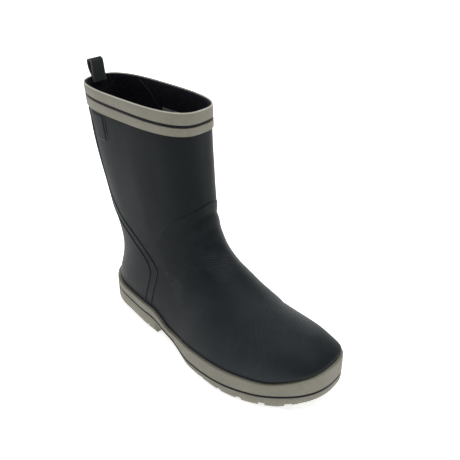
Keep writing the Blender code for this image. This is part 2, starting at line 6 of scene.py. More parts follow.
import bpy
import numpy as np
from mathutils import Matrix, Vector


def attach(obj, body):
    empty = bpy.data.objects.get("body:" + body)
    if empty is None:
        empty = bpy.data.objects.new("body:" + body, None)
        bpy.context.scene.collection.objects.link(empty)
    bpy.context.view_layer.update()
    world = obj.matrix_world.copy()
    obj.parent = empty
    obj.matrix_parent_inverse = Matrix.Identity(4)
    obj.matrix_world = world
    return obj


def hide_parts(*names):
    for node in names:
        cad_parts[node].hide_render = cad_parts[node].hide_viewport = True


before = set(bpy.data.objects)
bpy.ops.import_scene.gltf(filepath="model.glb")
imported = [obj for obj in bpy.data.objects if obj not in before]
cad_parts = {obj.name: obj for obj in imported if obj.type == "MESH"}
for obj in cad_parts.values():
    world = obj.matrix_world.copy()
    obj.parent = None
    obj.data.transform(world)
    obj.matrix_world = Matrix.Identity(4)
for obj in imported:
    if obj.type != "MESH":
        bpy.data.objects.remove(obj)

MM = 0.001
LENGTH = 292.0 * MM        # heel to toe, outside of the upper
BALL = 101.4 * MM          # width across the ball of the foot
HEIGHT = 270.0 * MM        # floor to the rim of the shaft
HEEL_TOP = 34.6 * MM       # floor to the top of the foxing at the heel
WALL = 2.2 * MM            # rubber and lining together
GAP = 0.35 * MM            # air left between neighbouring pieces
FOXING = 2.9 * MM          # thickness of the foxing strip
LINE_HALF = 0.9 * MM       # half height of the dark strip in the sole
TAPE = 1.2 * MM            # thickness of the collar tapes
TAPE_ENDS = (0.0, 11.2 * MM, 11.5 * MM, 14.0 * MM, 14.3 * MM, 23.0 * MM)
RIB_WIDE, RIB_HIGH = 1.9 * MM, 0.9 * MM
BADGE_THICK = 0.8 * MM
HEEL_SPOT = 62.0 * MM      # the frame's origin: this far in front of the back of the heel
VAMP_STEP = 0.7 * MM       # the vamp's second layer of rubber
VAMP_FADE = 0.06           # shares and rows over which that layer thins out
UPPER_STEP = 13.0 * MM     # step of the rows of the upper's mesh
LOOP_WIDE, LOOP_THICK = 16.5 * MM, 1.9 * MM
LOOP_EYE = 4.6 * MM        # width of the loop's eye at its top
LOOP_RISE, LOOP_HANG = 21.0 * MM, 4.5 * MM
LOOP_BOW = 0.6 * MM        # how far the wall bends forward across the strap's width

# share of the length; centre and half width as shares of the ball width
OUTLINE = [
    (0.00, 0.020, 0.330),
    (0.12, 0.005, 0.339),
    (0.28, -0.008, 0.390),
    (0.42, -0.042, 0.394),
    (0.56, -0.082, 0.455),
    (0.70, -0.068, 0.500),
    (0.82, -0.010, 0.483),
    (0.92, 0.053, 0.459),
    (1.00, 0.106, 0.465),
]
HEEL_CAP, HEEL_POWER = 0.142 * LENGTH, 2.03
TOE_CAP, TOE_POWER = 0.248 * LENGTH, 2.43

# share of the length; top of the foxing and middle of the dark strip as shares of HEEL_TOP
LEVELS = [
    (0.00, 1.000, 0.731),
    (0.18, 0.917, 0.645),
    (0.30, 0.920, 0.640),
    (0.42, 0.592, 0.390),
    (0.56, 0.728, 0.263),
    (0.70, 0.824, 0.353),
    (0.85, 0.841, 0.428),
    (1.00, 1.222, 0.632),
]

HEEL_BREAST = (0.326, 0.334)    # shares of the length between which the heel block ends
# share of the length; height of the tread as a share of HEEL_TOP;
# how far the bottom edge and the side's step stand out from the upper, in mm
TREAD = [
    (0.000, 0.120, -6.5, -2.0),
    (0.020, 0.030, -5.0, -0.8),
    (0.055, 0.000, -3.0, 0.6),
    (0.120, 0.000, -1.6, 1.7),
    (HEEL_BREAST[0], 0.000, -0.8, 1.7),
    (HEEL_BREAST[1], 0.420, -6.0, 0.5),
    (0.420, 0.260, -7.0, 0.5),
    (0.500, 0.130, -5.0, 1.0),
    (0.530, 0.040, -1.0, 2.0),
    (0.565, 0.000, 0.8, 2.4),
    (0.800, 0.000, 0.8, 2.4),
    (0.900, 0.050, 0.6, 2.3),
    (1.000, 0.275, -1.5, 1.8),
]
STEP_SHARE = 0.32          # height of the side's step between tread and sole top
# channels between the lugs: centre as a share of the length, width and depth in mm
CHANNELS = [
    (0.161, 4.4, 5.4),
    (0.267, 4.4, 5.4),
    (0.627, 5.0, 3.2),
    (0.702, 5.0, 3.2),
    (0.777, 5.0, 3.2),
    (0.853, 5.0, 3.2),
    (0.928, 5.0, 3.2),
]

# one slanted section of the foot each: row, front line x (of LENGTH) and z (of HEIGHT),
# x where it meets the foxing (of LENGTH), ridge y and half width (of BALL), power of the curve
FOOT = [
    (0.00, 1.0000, 0.1585, 1.0000, 0.106, 0.060, 2.10),
    (0.03, 0.9985, 0.1690, 0.9830, 0.095, 0.200, 2.10),
    (0.06, 0.9910, 0.1760, 0.9590, 0.085, 0.280, 2.12),
    (0.10, 0.9690, 0.1920, 0.9140, 0.065, 0.360, 2.15),
    (0.15, 0.9175, 0.2195, 0.8425, 0.030, 0.434, 2.20),
    (0.22, 0.8221, 0.2541, 0.7397, -0.015, 0.487, 2.20),
    (0.29, 0.7192, 0.2965, 0.6164, -0.040, 0.490, 2.20),
    (0.36, 0.6290, 0.3620, 0.4795, -0.045, 0.445, 2.20),
    (0.43, 0.5690, 0.4174, 0.3288, -0.035, 0.418, 2.20),
    (0.50, 0.5202, 0.4831, 0.1712, -0.025, 0.390, 2.20),
    (0.56, 0.4950, 0.5459, 0.0411, -0.018, 0.368, 2.20),
    (0.59, 0.4865, 0.5740, 0.0000, -0.015, 0.360, 2.22),
]
CLOSE = FOOT[-1][0]
# one ring of the shaft each: row, front x and z, back x and z (of LENGTH and HEIGHT),
# centre y and half width (of BALL), power of the curve
SHAFT = [
    (0.59, 0.4865, 0.5740, 0.0000, 0.1300, -0.015, 0.360, 2.22),
    (0.63, 0.4815, 0.6090, 0.0340, 0.2500, -0.015, 0.354, 2.32),
    (0.70, 0.4762, 0.6704, 0.0155, 0.4070, -0.018, 0.349, 2.45),
    (0.78, 0.4705, 0.7519, -0.0200, 0.5670, -0.026, 0.352, 2.60),
    (0.86, 0.4668, 0.8333, -0.0548, 0.7400, -0.041, 0.356, 2.75),
    (0.93, 0.4658, 0.9056, -0.0791, 0.9148, -0.052, 0.351, 2.90),
    (1.00, 0.4664, 0.9943, -0.0911, 1.0035, -0.060, 0.330, 3.00),
]
STRAIGHTEN = 0.20         # rows over which the back line comes into line with the shaft's middle
FLARE = 22.0 * MM         # height over which the sides run into the outline of the foxing
RIM_ROWS = 0.07 / (24.0 * MM)    # rows per metre below the rim

# the two ribs on each side of the heel stay, as seen from the side: shares of LENGTH and of HEIGHT
RIB_FRONT = [
    (-0.0394, 0.9056), (-0.0065, 0.8470), (0.0082, 0.7615), (0.0277, 0.6467), (0.0503, 0.5593),
    (0.1048, 0.4763), (0.1764, 0.4267), (0.2507, 0.3804), (0.3003, 0.3481), (0.3301, 0.3204),
    (0.3342, 0.2852), (0.3164, 0.2037), (0.2986, 0.1235),
]
RIB_REAR = [
    (-0.0634, 0.9000), (-0.0377, 0.8296), (-0.0240, 0.7519), (-0.0068, 0.6444), (0.0103, 0.5593),
    (0.0342, 0.4963), (0.0753, 0.4481), (0.1346, 0.4130), (0.2041, 0.3704), (0.2640, 0.3352),
    (0.2911, 0.3059), (0.2945, 0.2667), (0.2740, 0.1789), (0.2623, 0.1235),
]
# lower edge of the shaft's seam: share of the way round, row where the vamp's second layer ends
VAMP_EDGE = [(0.00, 0.648), (0.10, 0.640), (0.27, 0.636), (0.36, 0.610), (0.44, 0.540),
             (0.50, 0.470), (1.00, 0.390)]
BADGE_ROWS, BADGE_ROUND = (0.876, 0.926), (0.662, 0.785)

# the photograph's camera: angles in degrees, lengths in metres, focus and centre in its pixels
VIEW_AZIMUTH, VIEW_HEIGHT, VIEW_ROLL = 42.85, 24.89, -0.24
VIEW_AIM, VIEW_DISTANCE = (0.07491, 0.00244, 0.2038), 0.6004
PHOTO_PIXELS, VIEW_FOCUS, VIEW_CENTRE = 460, 597.3, (209.05, 169.24)

# soft troughs and ridges across the instep: row, height in mm, width in rows, reach in shares,
# lean towards the sides, side (-1 outer, 1 inner, 0 both)
FOLDS = [
    (0.600, -0.50, 0.014, 0.42, 0.10, 0),
    (0.570, 0.35, 0.016, 0.38, 0.08, 0),
    (0.535, -0.35, 0.014, 0.34, 0.05, 0),
    (0.485, -0.25, 0.018, 0.40, 0.02, -1),
    (0.300, -0.20, 0.020, 0.50, -0.05, -1),
    (0.268, 0.18, 0.016, 0.46, -0.05, -1),
]
# slack places on the shaft and ankle: row, share, side, height in mm, spread in rows and in shares
SLACK = [
    (0.80, 0.30, -1, -0.50, 0.10, 0.05),
    (0.78, 0.46, -1, 0.55, 0.12, 0.06),
    (0.76, 0.62, -1, -0.35, 0.10, 0.06),
    (0.66, 0.36, -1, -0.40, 0.05, 0.09),
    (0.80, 0.35, 1, -0.40, 0.12, 0.07),
    (0.70, 0.60, 1, 0.40, 0.08, 0.10),
]
# how fine the surfaces are: the upper's grid, rings round the shaft, strips round the foot, ribs
SKIN_STEP, SKIN_COLUMNS = 2.4 * MM, 84
RING_COLUMNS, STRIP_CORNERS, RIB_STATIONS = 130, 420, 170
# directions and pitches in mm of the lining's pile, and its height
PILE_WAVES = [((1.0, 0.2, 0.3), 3.1), ((0.2, 1.0, 0.5), 2.7), ((0.3, 0.4, 1.0), 2.9)]
PILE_HIGH = 0.10 * MM
BEAD = 0.85 * MM
NOTCH_DEPTH = 3.2 * MM         # how far the channels cut into the side of the sole
NOTCH_FULL = 2.4 * MM          # a channel as deep as this cuts in all the way
CHANNEL_REACH = 11.0 * MM      # the channels run in from the side and leave the tread's middle whole
CHANNEL_DARK = 1.5 * MM        # channels deeper than this get painted shade: their low walls are coloured dark
SEAM_START, SEAM_END = 0.72, 0.46
SEAM_FADE = (0.30, 0.44)     # shares of the way round over which the shaft's seam fades away
LABEL_ROWS, LABEL_ROUND = (0.880, 0.920), (0.42, 0.57)
BADGE_LINE_ROWS, BADGE_LINE_ROUND = (0.880, 0.932), (0.640, 0.647)

UPPER_DARK, UPPER_LIGHT = (0.0028, 0.0049, 0.0060), (0.0054, 0.0084, 0.0100)
# paler colour of worn rib crests and scuffs, also used for the painted light on the toe top
UPPER_WORN_AND_LIT = (0.070, 0.083, 0.091)
GREIGE_LIGHT, GREIGE_DARK = (0.214, 0.204, 0.163), (0.172, 0.164, 0.129)
BEAD_LIGHT, BEAD_DARK = (0.46, 0.45, 0.38), (0.38, 0.37, 0.31)
# the cloth under the rubber is cut on the bias: directions across its ribs, pitch, and where they show
ALONG_BIAS, ACROSS_BIAS, RIB_PITCH = (0.733, 0.680, 0.0), (-0.286, 0.309, 0.907), 1.35 * MM
# centre of the painted light: a paler patch where the overhead lamp falls on the toe top
TOE_PAINTED_LIGHT = (0.165, -0.02, 0.06)
TOE_RIBS, INSTEP_RIBS, SCUFF = (0.173, -0.01, 0.055), (0.088, -0.03, 0.10), (0.043, -0.045, 0.07)


def monotone(table, column):
    """Smooth curve through one column of a table, with no overshoot between its rows."""
    x = np.array([row[0] for row in table])
    y = np.array([row[column] for row in table])
    h = np.diff(x)
    d = np.diff(y) / h
    slope = np.zeros(len(x))
    same = d[:-1] * d[1:] > 0
    w1 = (2 * h[1:] + h[:-1])[same]
    w2 = (h[1:] + 2 * h[:-1])[same]
    inner = np.zeros(len(x) - 2)
    inner[same] = (w1 + w2) / (w1 / d[:-1][same] + w2 / d[1:][same])
    slope[1:-1] = inner
    slope[0], slope[-1] = d[0], d[-1]

    def value(at):
        at = np.clip(np.asarray(at, float), x[0], x[-1])
        k = np.clip(np.searchsorted(x, at, side="right") - 1, 0, len(h) - 1)
        t = (at - x[k]) / h[k]
        return (y[k] * (1 + 2 * t) * (1 - t) ** 2 + slope[k] * h[k] * t * (1 - t) ** 2
                + y[k + 1] * t * t * (3 - 2 * t) + slope[k + 1] * h[k] * t * t * (t - 1))
    return value


def natural(table, column):
    """Natural cubic spline through one column of a table."""
    x = np.array([row[0] for row in table])
    y = np.array([row[column] for row in table])
    n = len(x)
    h = np.diff(x)
    a = np.zeros((n, n))
    r = np.zeros(n)
    a[0, 0] = a[-1, -1] = 1.0
    for i in range(1, n - 1):
        a[i, i - 1:i + 2] = h[i - 1], 2 * (h[i - 1] + h[i]), h[i]
        r[i] = 6 * ((y[i + 1] - y[i]) / h[i] - (y[i] - y[i - 1]) / h[i - 1])
    c = np.linalg.solve(a, r)

    def value(at):
        at = np.clip(np.asarray(at, float), x[0], x[-1])
        k = np.clip(np.searchsorted(x, at, side="right") - 1, 0, n - 2)
        p, q = x[k + 1] - at, at - x[k]
        return ((c[k] * p ** 3 + c[k + 1] * q ** 3) / (6 * h[k])
                + (y[k] / h[k] - c[k] * h[k] / 6) * p + (y[k + 1] / h[k] - c[k + 1] * h[k] / 6) * q)
    return value


centre_share, half_share = monotone(OUTLINE, 1), monotone(OUTLINE, 2)
top_share, line_share = monotone(LEVELS, 1), monotone(LEVELS, 2)
front_line = [row[:3] for row in FOOT[:-1]] + [row[:3] for row in SHAFT]
middle = [(r[0],) + r[4:7] for r in FOOT[:-1]] + [(r[0],) + r[5:8] for r in SHAFT]
front_x, front_z = natural(front_line, 1), natural(front_line, 2)
ridge_y, row_half, row_power = (natural(middle, k) for k in (1, 2, 3))
feather_x = monotone(FOOT, 3)
back_x, back_z = natural(SHAFT, 3), natural(SHAFT, 4)
vamp_edge = monotone(VAMP_EDGE, 1)


def foot_centre(x):
    return BALL * centre_share(x / LENGTH)


def foot_half(x):
    """Half width of the foot: the table's width, rounded off by a cap at the heel and at the toe."""
    x = np.clip(x, 0.0, LENGTH)
    back = np.clip(1 - x / HEEL_CAP, 0, 1)
    front = np.clip((x - LENGTH + TOE_CAP) / TOE_CAP, 0, 1)
    return (BALL * half_share(x / LENGTH) * (1 - back ** HEEL_POWER) ** (1 / HEEL_POWER)
            * (1 - front ** TOE_POWER) ** (1 / TOE_POWER))


def foxing_top(x):
    return HEEL_TOP * top_share(x / LENGTH)


def sole_line(x):
    return HEEL_TOP * line_share(x / LENGTH)


def around(turn, out):
    """Point on the foot's outline at an angle (0 heel, pi toe, outer side first), moved out by a distance."""
    def plain(a):
        x = LENGTH * (1 - np.cos(a)) / 2
        side = np.where(np.sin(a) >= 0, -1.0, 1.0)
        return np.stack([x, foot_centre(x) + side * foot_half(x)], -1)
    turn = np.asarray(turn, float)
    step = plain(turn + 1e-3) - plain(turn - 1e-3)
    step /= np.linalg.norm(step, axis=-1, keepdims=True)
    return plain(turn) + np.asarray(out, float)[..., None] * np.stack([step[..., 1], -step[..., 0]], -1)


def curve_of_row(v):
    """Fine half section at row v: share along from front to back, half width, ends and middle line."""
    foot_row = v < CLOSE
    xf, zf = LENGTH * float(front_x(v)), HEIGHT * float(front_z(v))
    if foot_row:
        xb = LENGTH * float(feather_x(v))
        zb = float(foxing_top(xb)) + 0.5 * MM
        open_half = float(foot_half(xb))
    else:
        xb, zb, open_half = LENGTH * float(back_x(v)), HEIGHT * float(back_z(v)), 0.0
    ridge = BALL * float(ridge_y(v))
    if foot_row:
        base = float(foot_centre(xb))
    else:
        rise = min(1.0, (v - CLOSE) / STRAIGHTEN)
        low = 1 - rise * rise * (3 - 2 * rise)
        base = ridge + low * (float(foot_centre(0.0)) - BALL * float(ridge_y(CLOSE)))
    n = float(row_power(v))
    wide = max(BALL * float(row_half(v)), open_half * 1.0005 + 1e-7)
    last = math.pi
    if foot_row:
        arch = math.pi - math.asin((open_half / wide) ** (n / 2))
        reach = 1 - 2 * (xf - xb) / xf
        to_heel = math.acos(math.copysign(abs(reach) ** (n / 2), reach))
        mix = min(1.0, max(0.0, (v - 0.34) / 0.16))
        mix = mix * mix * (3 - 2 * mix)
        last = (1 - mix) * arch + mix * to_heel
    turn = np.linspace(0, 1, 181) * last
    along = (1 - np.sign(np.cos(turn)) * np.abs(np.cos(turn)) ** (2 / n))
    half = wide * np.abs(np.sin(turn)) ** (2 / n)
    along /= along[-1]
    if foot_row:
        end = open_half / max(half[-1], 1e-9) if open_half > 1e-7 else 1.0
        low = np.exp(-(1 - along) * math.dist((xf, zf), (xb, zb)) / FLARE)
        half = half * (1 + (end - 1) * low)
    return along, half, (xf, ridge, zf), (xb, base, zb)


def measure(along, half, first, last, bend):
    """Running length along a half section; bend adds length where the section turns."""
    size = math.dist(first, last)
    dx, dy = np.diff(along) * size, np.diff(half)
    piece = np.hypot(dx, dy)
    turn = np.abs(np.diff(np.unwrap(np.arctan2(dy, dx))))
    piece = piece + bend * np.concatenate([[0], turn])
    return np.concatenate([[0], np.cumsum(piece)])


def on_upper(v, shares, side):
    """Points of the upper's outside at row v, at shares of the way round from front to back or foxing."""
    along, half, first, last = curve_of_row(v)
    run = measure(along, half, first, last, 0.0)
    want = np.asarray(shares, float) * run[-1]
    a, h = np.interp(want, run, along)[..., None], np.interp(want, run, half)
    points = np.array(first) * (1 - a) + np.array(last) * a
    points[..., 1] += side * h
    return points


def mesh_shares(v, count):
    """Shares of the way round at which the mesh has its points: even, and closer where the section turns."""
    along, half, first, last = curve_of_row(v)
    even = measure(along, half, first, last, 0.0)
    bent = measure(along, half, first, last, UPPER_STEP)
    return np.interp(np.linspace(0, bent[-1], count), bent, even) / even[-1]


def upper_normal(v, s, side):
    """Outward direction of the upper's outside."""
    dv, ds = 0.004, 0.004
    v0, v1 = max(v - dv, 0.002), min(v + dv, 1.0)
    s0, s1 = max(s - ds, 0.0), min(s + ds, 1.0)
    across = on_upper(v, [s1], side)[0] - on_upper(v, [s0], side)[0]
    up = on_upper(v1, [s], side)[0] - on_upper(v0, [s], side)[0]
    n = np.cross(across, up) * side
    if s <= ds or s >= 1 - ds and v >= CLOSE:
        n[1] = 0.0
    return n / np.linalg.norm(n)


def side_point(x, z, side):
    """Point of the upper's outside that is seen from the side at x and z: its row is found by halving."""
    low, high = 0.02, 1.0
    for _ in range(34):
        v = (low + high) / 2
        along, half, first, last = curve_of_row(v)
        dx, dz = last[0] - first[0], last[2] - first[2]
        if dx * (z - first[2]) - dz * (x - first[0]) < 0:
            low = v
        else:
            high = v
    share = min(1.0, max(0.0, ((x - first[0]) * dx + (z - first[2]) * dz) / (dx * dx + dz * dz)))
    middle = first[1] * (1 - share) + last[1] * share
    return np.array([x, middle + side * np.interp(share, along, half), z])


def side_line(table, side, count):
    """Points and outward directions along a smooth line drawn on the side of the upper."""
    steps = [(k / (len(table) - 1), a, b) for k, (a, b) in enumerate(table)]
    t = np.linspace(0, 1, count)
    nudge = 0.5 * MM
    centre, out = [], []
    for x, z in zip(LENGTH * natural(steps, 1)(t), HEIGHT * natural(steps, 2)(t)):
        forward = side_point(x + nudge, z, side) - side_point(x - nudge, z, side)
        up = side_point(x, z + nudge, side) - side_point(x, z - nudge, side)
        normal = -side * np.cross(forward, up)
        centre.append(side_point(x, z, side))
        out.append(normal / np.linalg.norm(normal))
    return np.array(centre), np.array(out)


def rows_between(first, last, step):
    """Rows whose front and back ends move by a step at most from one to the next."""
    fine = np.linspace(first, last, 601)
    ends = [curve_of_row(v) for v in fine]
    front = np.array([end[2] for end in ends])
    back = np.array([(end[3][0], end[3][1] - end[1][-1], end[3][2]) for end in ends])
    run = np.maximum(np.linalg.norm(np.diff(front, axis=0), axis=1),
                     np.linalg.norm(np.diff(back, axis=0), axis=1))
    run = np.concatenate([[0], np.cumsum(run)])
    count = int(math.ceil(run[-1] / step))
    return np.interp(np.linspace(0, run[-1], count + 1), run, fine)


def smooth(x):
    """Soft step from 0 to 1: 3 x squared minus 2 x cubed."""
    x = np.clip(x, 0.0, 1.0)
    return x * x * (3 - 2 * x)


class Skin:
    """The upper's outside as a grid: rows from the toe tip to the rim, columns from the outer
    side's back or foxing round the front to the inner side's. Points are on the bare surface."""

    def __init__(self, step, half_columns):
        low = rows_between(0.0, CLOSE, step)
        high = rows_between(CLOSE, 1.0, step)[1:]
        self.rows = np.concatenate([low, high])
        self.closed = len(low) - 1
        self.columns = half_columns
        shares = np.array([mesh_shares(v, half_columns + 1) for v in self.rows])
        self.shares = np.concatenate([shares[:, :0:-1], shares], axis=1)
        sides = np.concatenate([-np.ones(half_columns), np.ones(half_columns + 1)])
        self.sides = np.broadcast_to(sides, self.shares.shape)
        self.bare = np.array([
            np.concatenate([on_upper(v, s[:0:-1], -1), on_upper(v, s, 1)])
            for v, s in zip(self.rows, shares)])
        self.bare[0] = self.bare[0, half_columns]
        self.bare[self.closed:, -1] = self.bare[self.closed:, 0]
        self.normals = self.outward(self.bare)

    def outward(self, points):
        """Unit normals of the grid: the cross product of its two directions, joined up at the back."""
        around_way = np.gradient(points, axis=1)
        seam = points[self.closed:, 1] - points[self.closed:, -2]
        around_way[self.closed:, 0] = seam / 2
        around_way[self.closed:, -1] = seam / 2
        up_way = np.gradient(points, axis=0)
        normal = np.cross(around_way, up_way)
        normal /= np.maximum(np.linalg.norm(normal, axis=2, keepdims=True), 1e-12)
        normal[0] = normal[1, self.columns]
        return normal

    def lifted(self, lift):
        """Points moved out along the normals by a height for each."""
        return self.bare + lift[..., None] * self.normals

    def index(self):
        """Vertex numbers of the grid, with one vertex at the toe tip and one column at the back."""
        count = self.shares.shape
        number = np.zeros(count, int)
        keep = np.ones(count, bool)
        keep[0, 1:] = False
        keep[self.closed:, -1] = False
        number[keep] = np.arange(keep.sum())
        number[0, :] = 0
        number[self.closed:, -1] = number[self.closed:, 0]
        return number, keep


def quads(number):
    """Quads between neighbouring rows and columns of a grid of vertex numbers."""
    return np.stack([number[:-1, :-1], number[:-1, 1:], number[1:, 1:], number[1:, :-1]], -1).reshape(-1, 4)


def without_doubles(faces):
    """Faces as lists, with repeated corners taken out."""
    same = (faces == np.roll(faces, 1, axis=1)).any(axis=1)
    plain = faces[~same].tolist()
    for face in faces[same].tolist():
        short = [f for i, f in enumerate(face) if f != face[i - 1]]
        if len(short) > 2:
            plain.append(short)
    return plain


def make_piece(name, points, faces, materials, nodes=(), slots_of_faces=None, flat=None, uv=None):
    """A mesh object that rides on the boot and stands for the named nodes."""
    mesh = bpy.data.meshes.new(name)
    placed = np.asarray(points).reshape(-1, 3) - np.array([HEEL_SPOT, 0.0, 0.0])
    mesh.from_pydata(placed.tolist(), [], faces)
    mesh.update()
    if uv is not None:
        layer = mesh.uv_layers.new(name="surface")
        corner = np.zeros(len(mesh.loops), int)
        mesh.loops.foreach_get("vertex_index", corner)
        layer.data.foreach_set("uv", np.asarray(uv).reshape(-1, 2)[corner].ravel())
    for mat in materials:
        mesh.materials.append(mat)
    if slots_of_faces is not None:
        mesh.polygons.foreach_set("material_index", np.asarray(slots_of_faces, int))
    mesh.shade_smooth()
    if flat:
        mesh.set_sharp_from_angle(angle=math.radians(flat))
    obj = bpy.data.objects.new(name, mesh)
    bpy.context.scene.collection.objects.link(obj)
    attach(obj, "root")
    if nodes:
        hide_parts(*nodes)
    return obj


def turned_out(points, faces):
    """Faces turned, all together, so that the solid's volume is positive."""
    points = np.asarray(points).reshape(-1, 3)
    fans = np.array([(f[0], f[i], f[i + 1]) for f in faces for i in range(1, len(f) - 1)])
    a, b, c = points[fans[:, 0]], points[fans[:, 1]], points[fans[:, 2]]
    volume = np.einsum("ij,ij->i", a, np.cross(b, c)).sum()
    return faces if volume > 0 else [f[::-1] for f in faces]


def closed_strip(name, rings, materials, nodes=(), flat=None, uv=None):
    """A closed strip: rings[k] is one corner of its section, carried all the way round."""
    rings = np.asarray(rings)
    k, n = rings.shape[:2]
    number = np.arange(k * n).reshape(k, n)
    grid = np.concatenate([number, number[:1]])
    grid = np.concatenate([grid, grid[:, :1]], axis=1)
    faces = turned_out(rings, quads(grid).tolist())
    return make_piece(name, rings, faces, materials, nodes, flat=flat, uv=uv)


def swept(name, centre, across, out, section, materials, nodes=(), flat=None):
    """A section of (across, out) pairs carried along a line, closed at both ends."""
    section = np.asarray(section)
    rings = (centre[:, None] + section[None, :, :1] * across[:, None]
             + section[None, :, 1:] * out[:, None])
    n, k = rings.shape[:2]
    number = np.arange(n * k).reshape(n, k)
    grid = np.concatenate([number, number[:, :1]], axis=1)
    faces = quads(grid).tolist() + [list(range(k)), list(range((n - 1) * k, n * k))[::-1]]
    faces = turned_out(rings, faces)
    return make_piece(name, rings, faces, materials, nodes, flat=flat)


def nodes_of(mat):
    """The material's node tree, its shader and a helper that adds a node."""
    tree = mat.node_tree

    def add(kind, **values):
        node = tree.nodes.new(kind)
        for key, value in values.items():
            setattr(node, key, value)
        return node
    return tree, tree.nodes["Principled BSDF"], add


def new_material(name, roughness, coat=0.0, coat_rough=0.3, sheen=0.0, specular=0.5):
    mat = bpy.data.materials.new(name)
    mat.use_nodes = True
    shader = mat.node_tree.nodes["Principled BSDF"]
    shader.inputs["Roughness"].default_value = roughness
    shader.inputs["Coat Weight"].default_value = coat
    shader.inputs["Coat Roughness"].default_value = coat_rough
    shader.inputs["Sheen Weight"].default_value = sheen
    shader.inputs["Sheen Roughness"].default_value = 0.5
    shader.inputs["Specular IOR Level"].default_value = specular
    return mat


def noise(add, tree, vector, scale, detail=3.0, rough=0.55):
    node = add("ShaderNodeTexNoise")
    node.inputs["Scale"].default_value = scale
    node.inputs["Detail"].default_value = detail
    node.inputs["Roughness"].default_value = rough
    tree.links.new(vector, node.inputs["Vector"])
    return node.outputs["Fac"]


def ramp(add, tree, value, stops):
    """A colour ramp on a value: stops are (place, colour or grey)."""
    node = add("ShaderNodeValToRGB")
    bar = node.color_ramp
    while len(bar.elements) > 1:
        bar.elements.remove(bar.elements[-1])
    for i, (place, colour) in enumerate(stops):
        element = bar.elements[0] if i == 0 else bar.elements.new(place)
        element.position = place
        grey = colour if isinstance(colour, tuple) else (colour,) * 3
        element.color = grey + (1.0,)
    tree.links.new(value, node.inputs["Fac"])
    return node.outputs["Color"]


def maths(add, tree, operation, a, b=None, c=None):
    node = add("ShaderNodeMath", operation=operation)
    for socket, value in zip(node.inputs, (a, b, c)):
        if value is None:
            continue
        if isinstance(value, (int, float)):
            socket.default_value = value
        else:
            tree.links.new(value, socket)
    return node.outputs["Value"]


def mix_colours(add, tree, share, a, b):
    node = add("ShaderNodeMix", data_type="RGBA")
    for socket, value in ((node.inputs["Factor"], share), (node.inputs["A"], a), (node.inputs["B"], b)):
        if isinstance(value, tuple):
            socket.default_value = value + (1.0,)
        elif isinstance(value, (int, float)):
            socket.default_value = value
        else:
            tree.links.new(value, socket)
    return node.outputs["Result"]


def bump(add, tree, height, distance, strength=1.0, under=None):
    node = add("ShaderNodeBump")
    node.inputs["Distance"].default_value = distance
    node.inputs["Strength"].default_value = strength
    tree.links.new(height, node.inputs["Height"])
    if under is not None:
        tree.links.new(under, node.inputs["Normal"])
    return node.outputs["Normal"]


def stripes(add, tree, vector, direction, pitch):
    """A sine wave along a direction of the object: 0 to 1, one crest for each pitch."""
    dot = add("ShaderNodeVectorMath", operation="DOT_PRODUCT")
    tree.links.new(vector, dot.inputs[0])
    dot.inputs[1].default_value = direction
    turn = maths(add, tree, "MULTIPLY", dot.outputs["Value"], 2 * math.pi / pitch)
    wave = maths(add, tree, "SINE", turn)
    return maths(add, tree, "MULTIPLY_ADD", wave, 0.5, 0.5)


def near(add, tree, vector, centre, radius):
    """1 at a place on the object, falling to 0 at a radius."""
    away = add("ShaderNodeVectorMath", operation="DISTANCE")
    tree.links.new(vector, away.inputs[0])
    away.inputs[1].default_value = centre
    fall = add("ShaderNodeMapRange", interpolation_type="SMOOTHSTEP")
    fall.inputs["From Min"].default_value = radius
    fall.inputs["From Max"].default_value = radius * 0.35
    tree.links.new(away.outputs["Value"], fall.inputs["Value"])
    return fall.outputs["Result"]


def speckled(add, tree, base, speck):
    """One colour multiplied by another."""
    tint = add("ShaderNodeMix", data_type="RGBA", blend_type="MULTIPLY")
    tint.inputs["Factor"].default_value = 1.0
    tree.links.new(base, tint.inputs["A"])
    tree.links.new(speck, tint.inputs["B"])
    return tint.outputs["Result"]


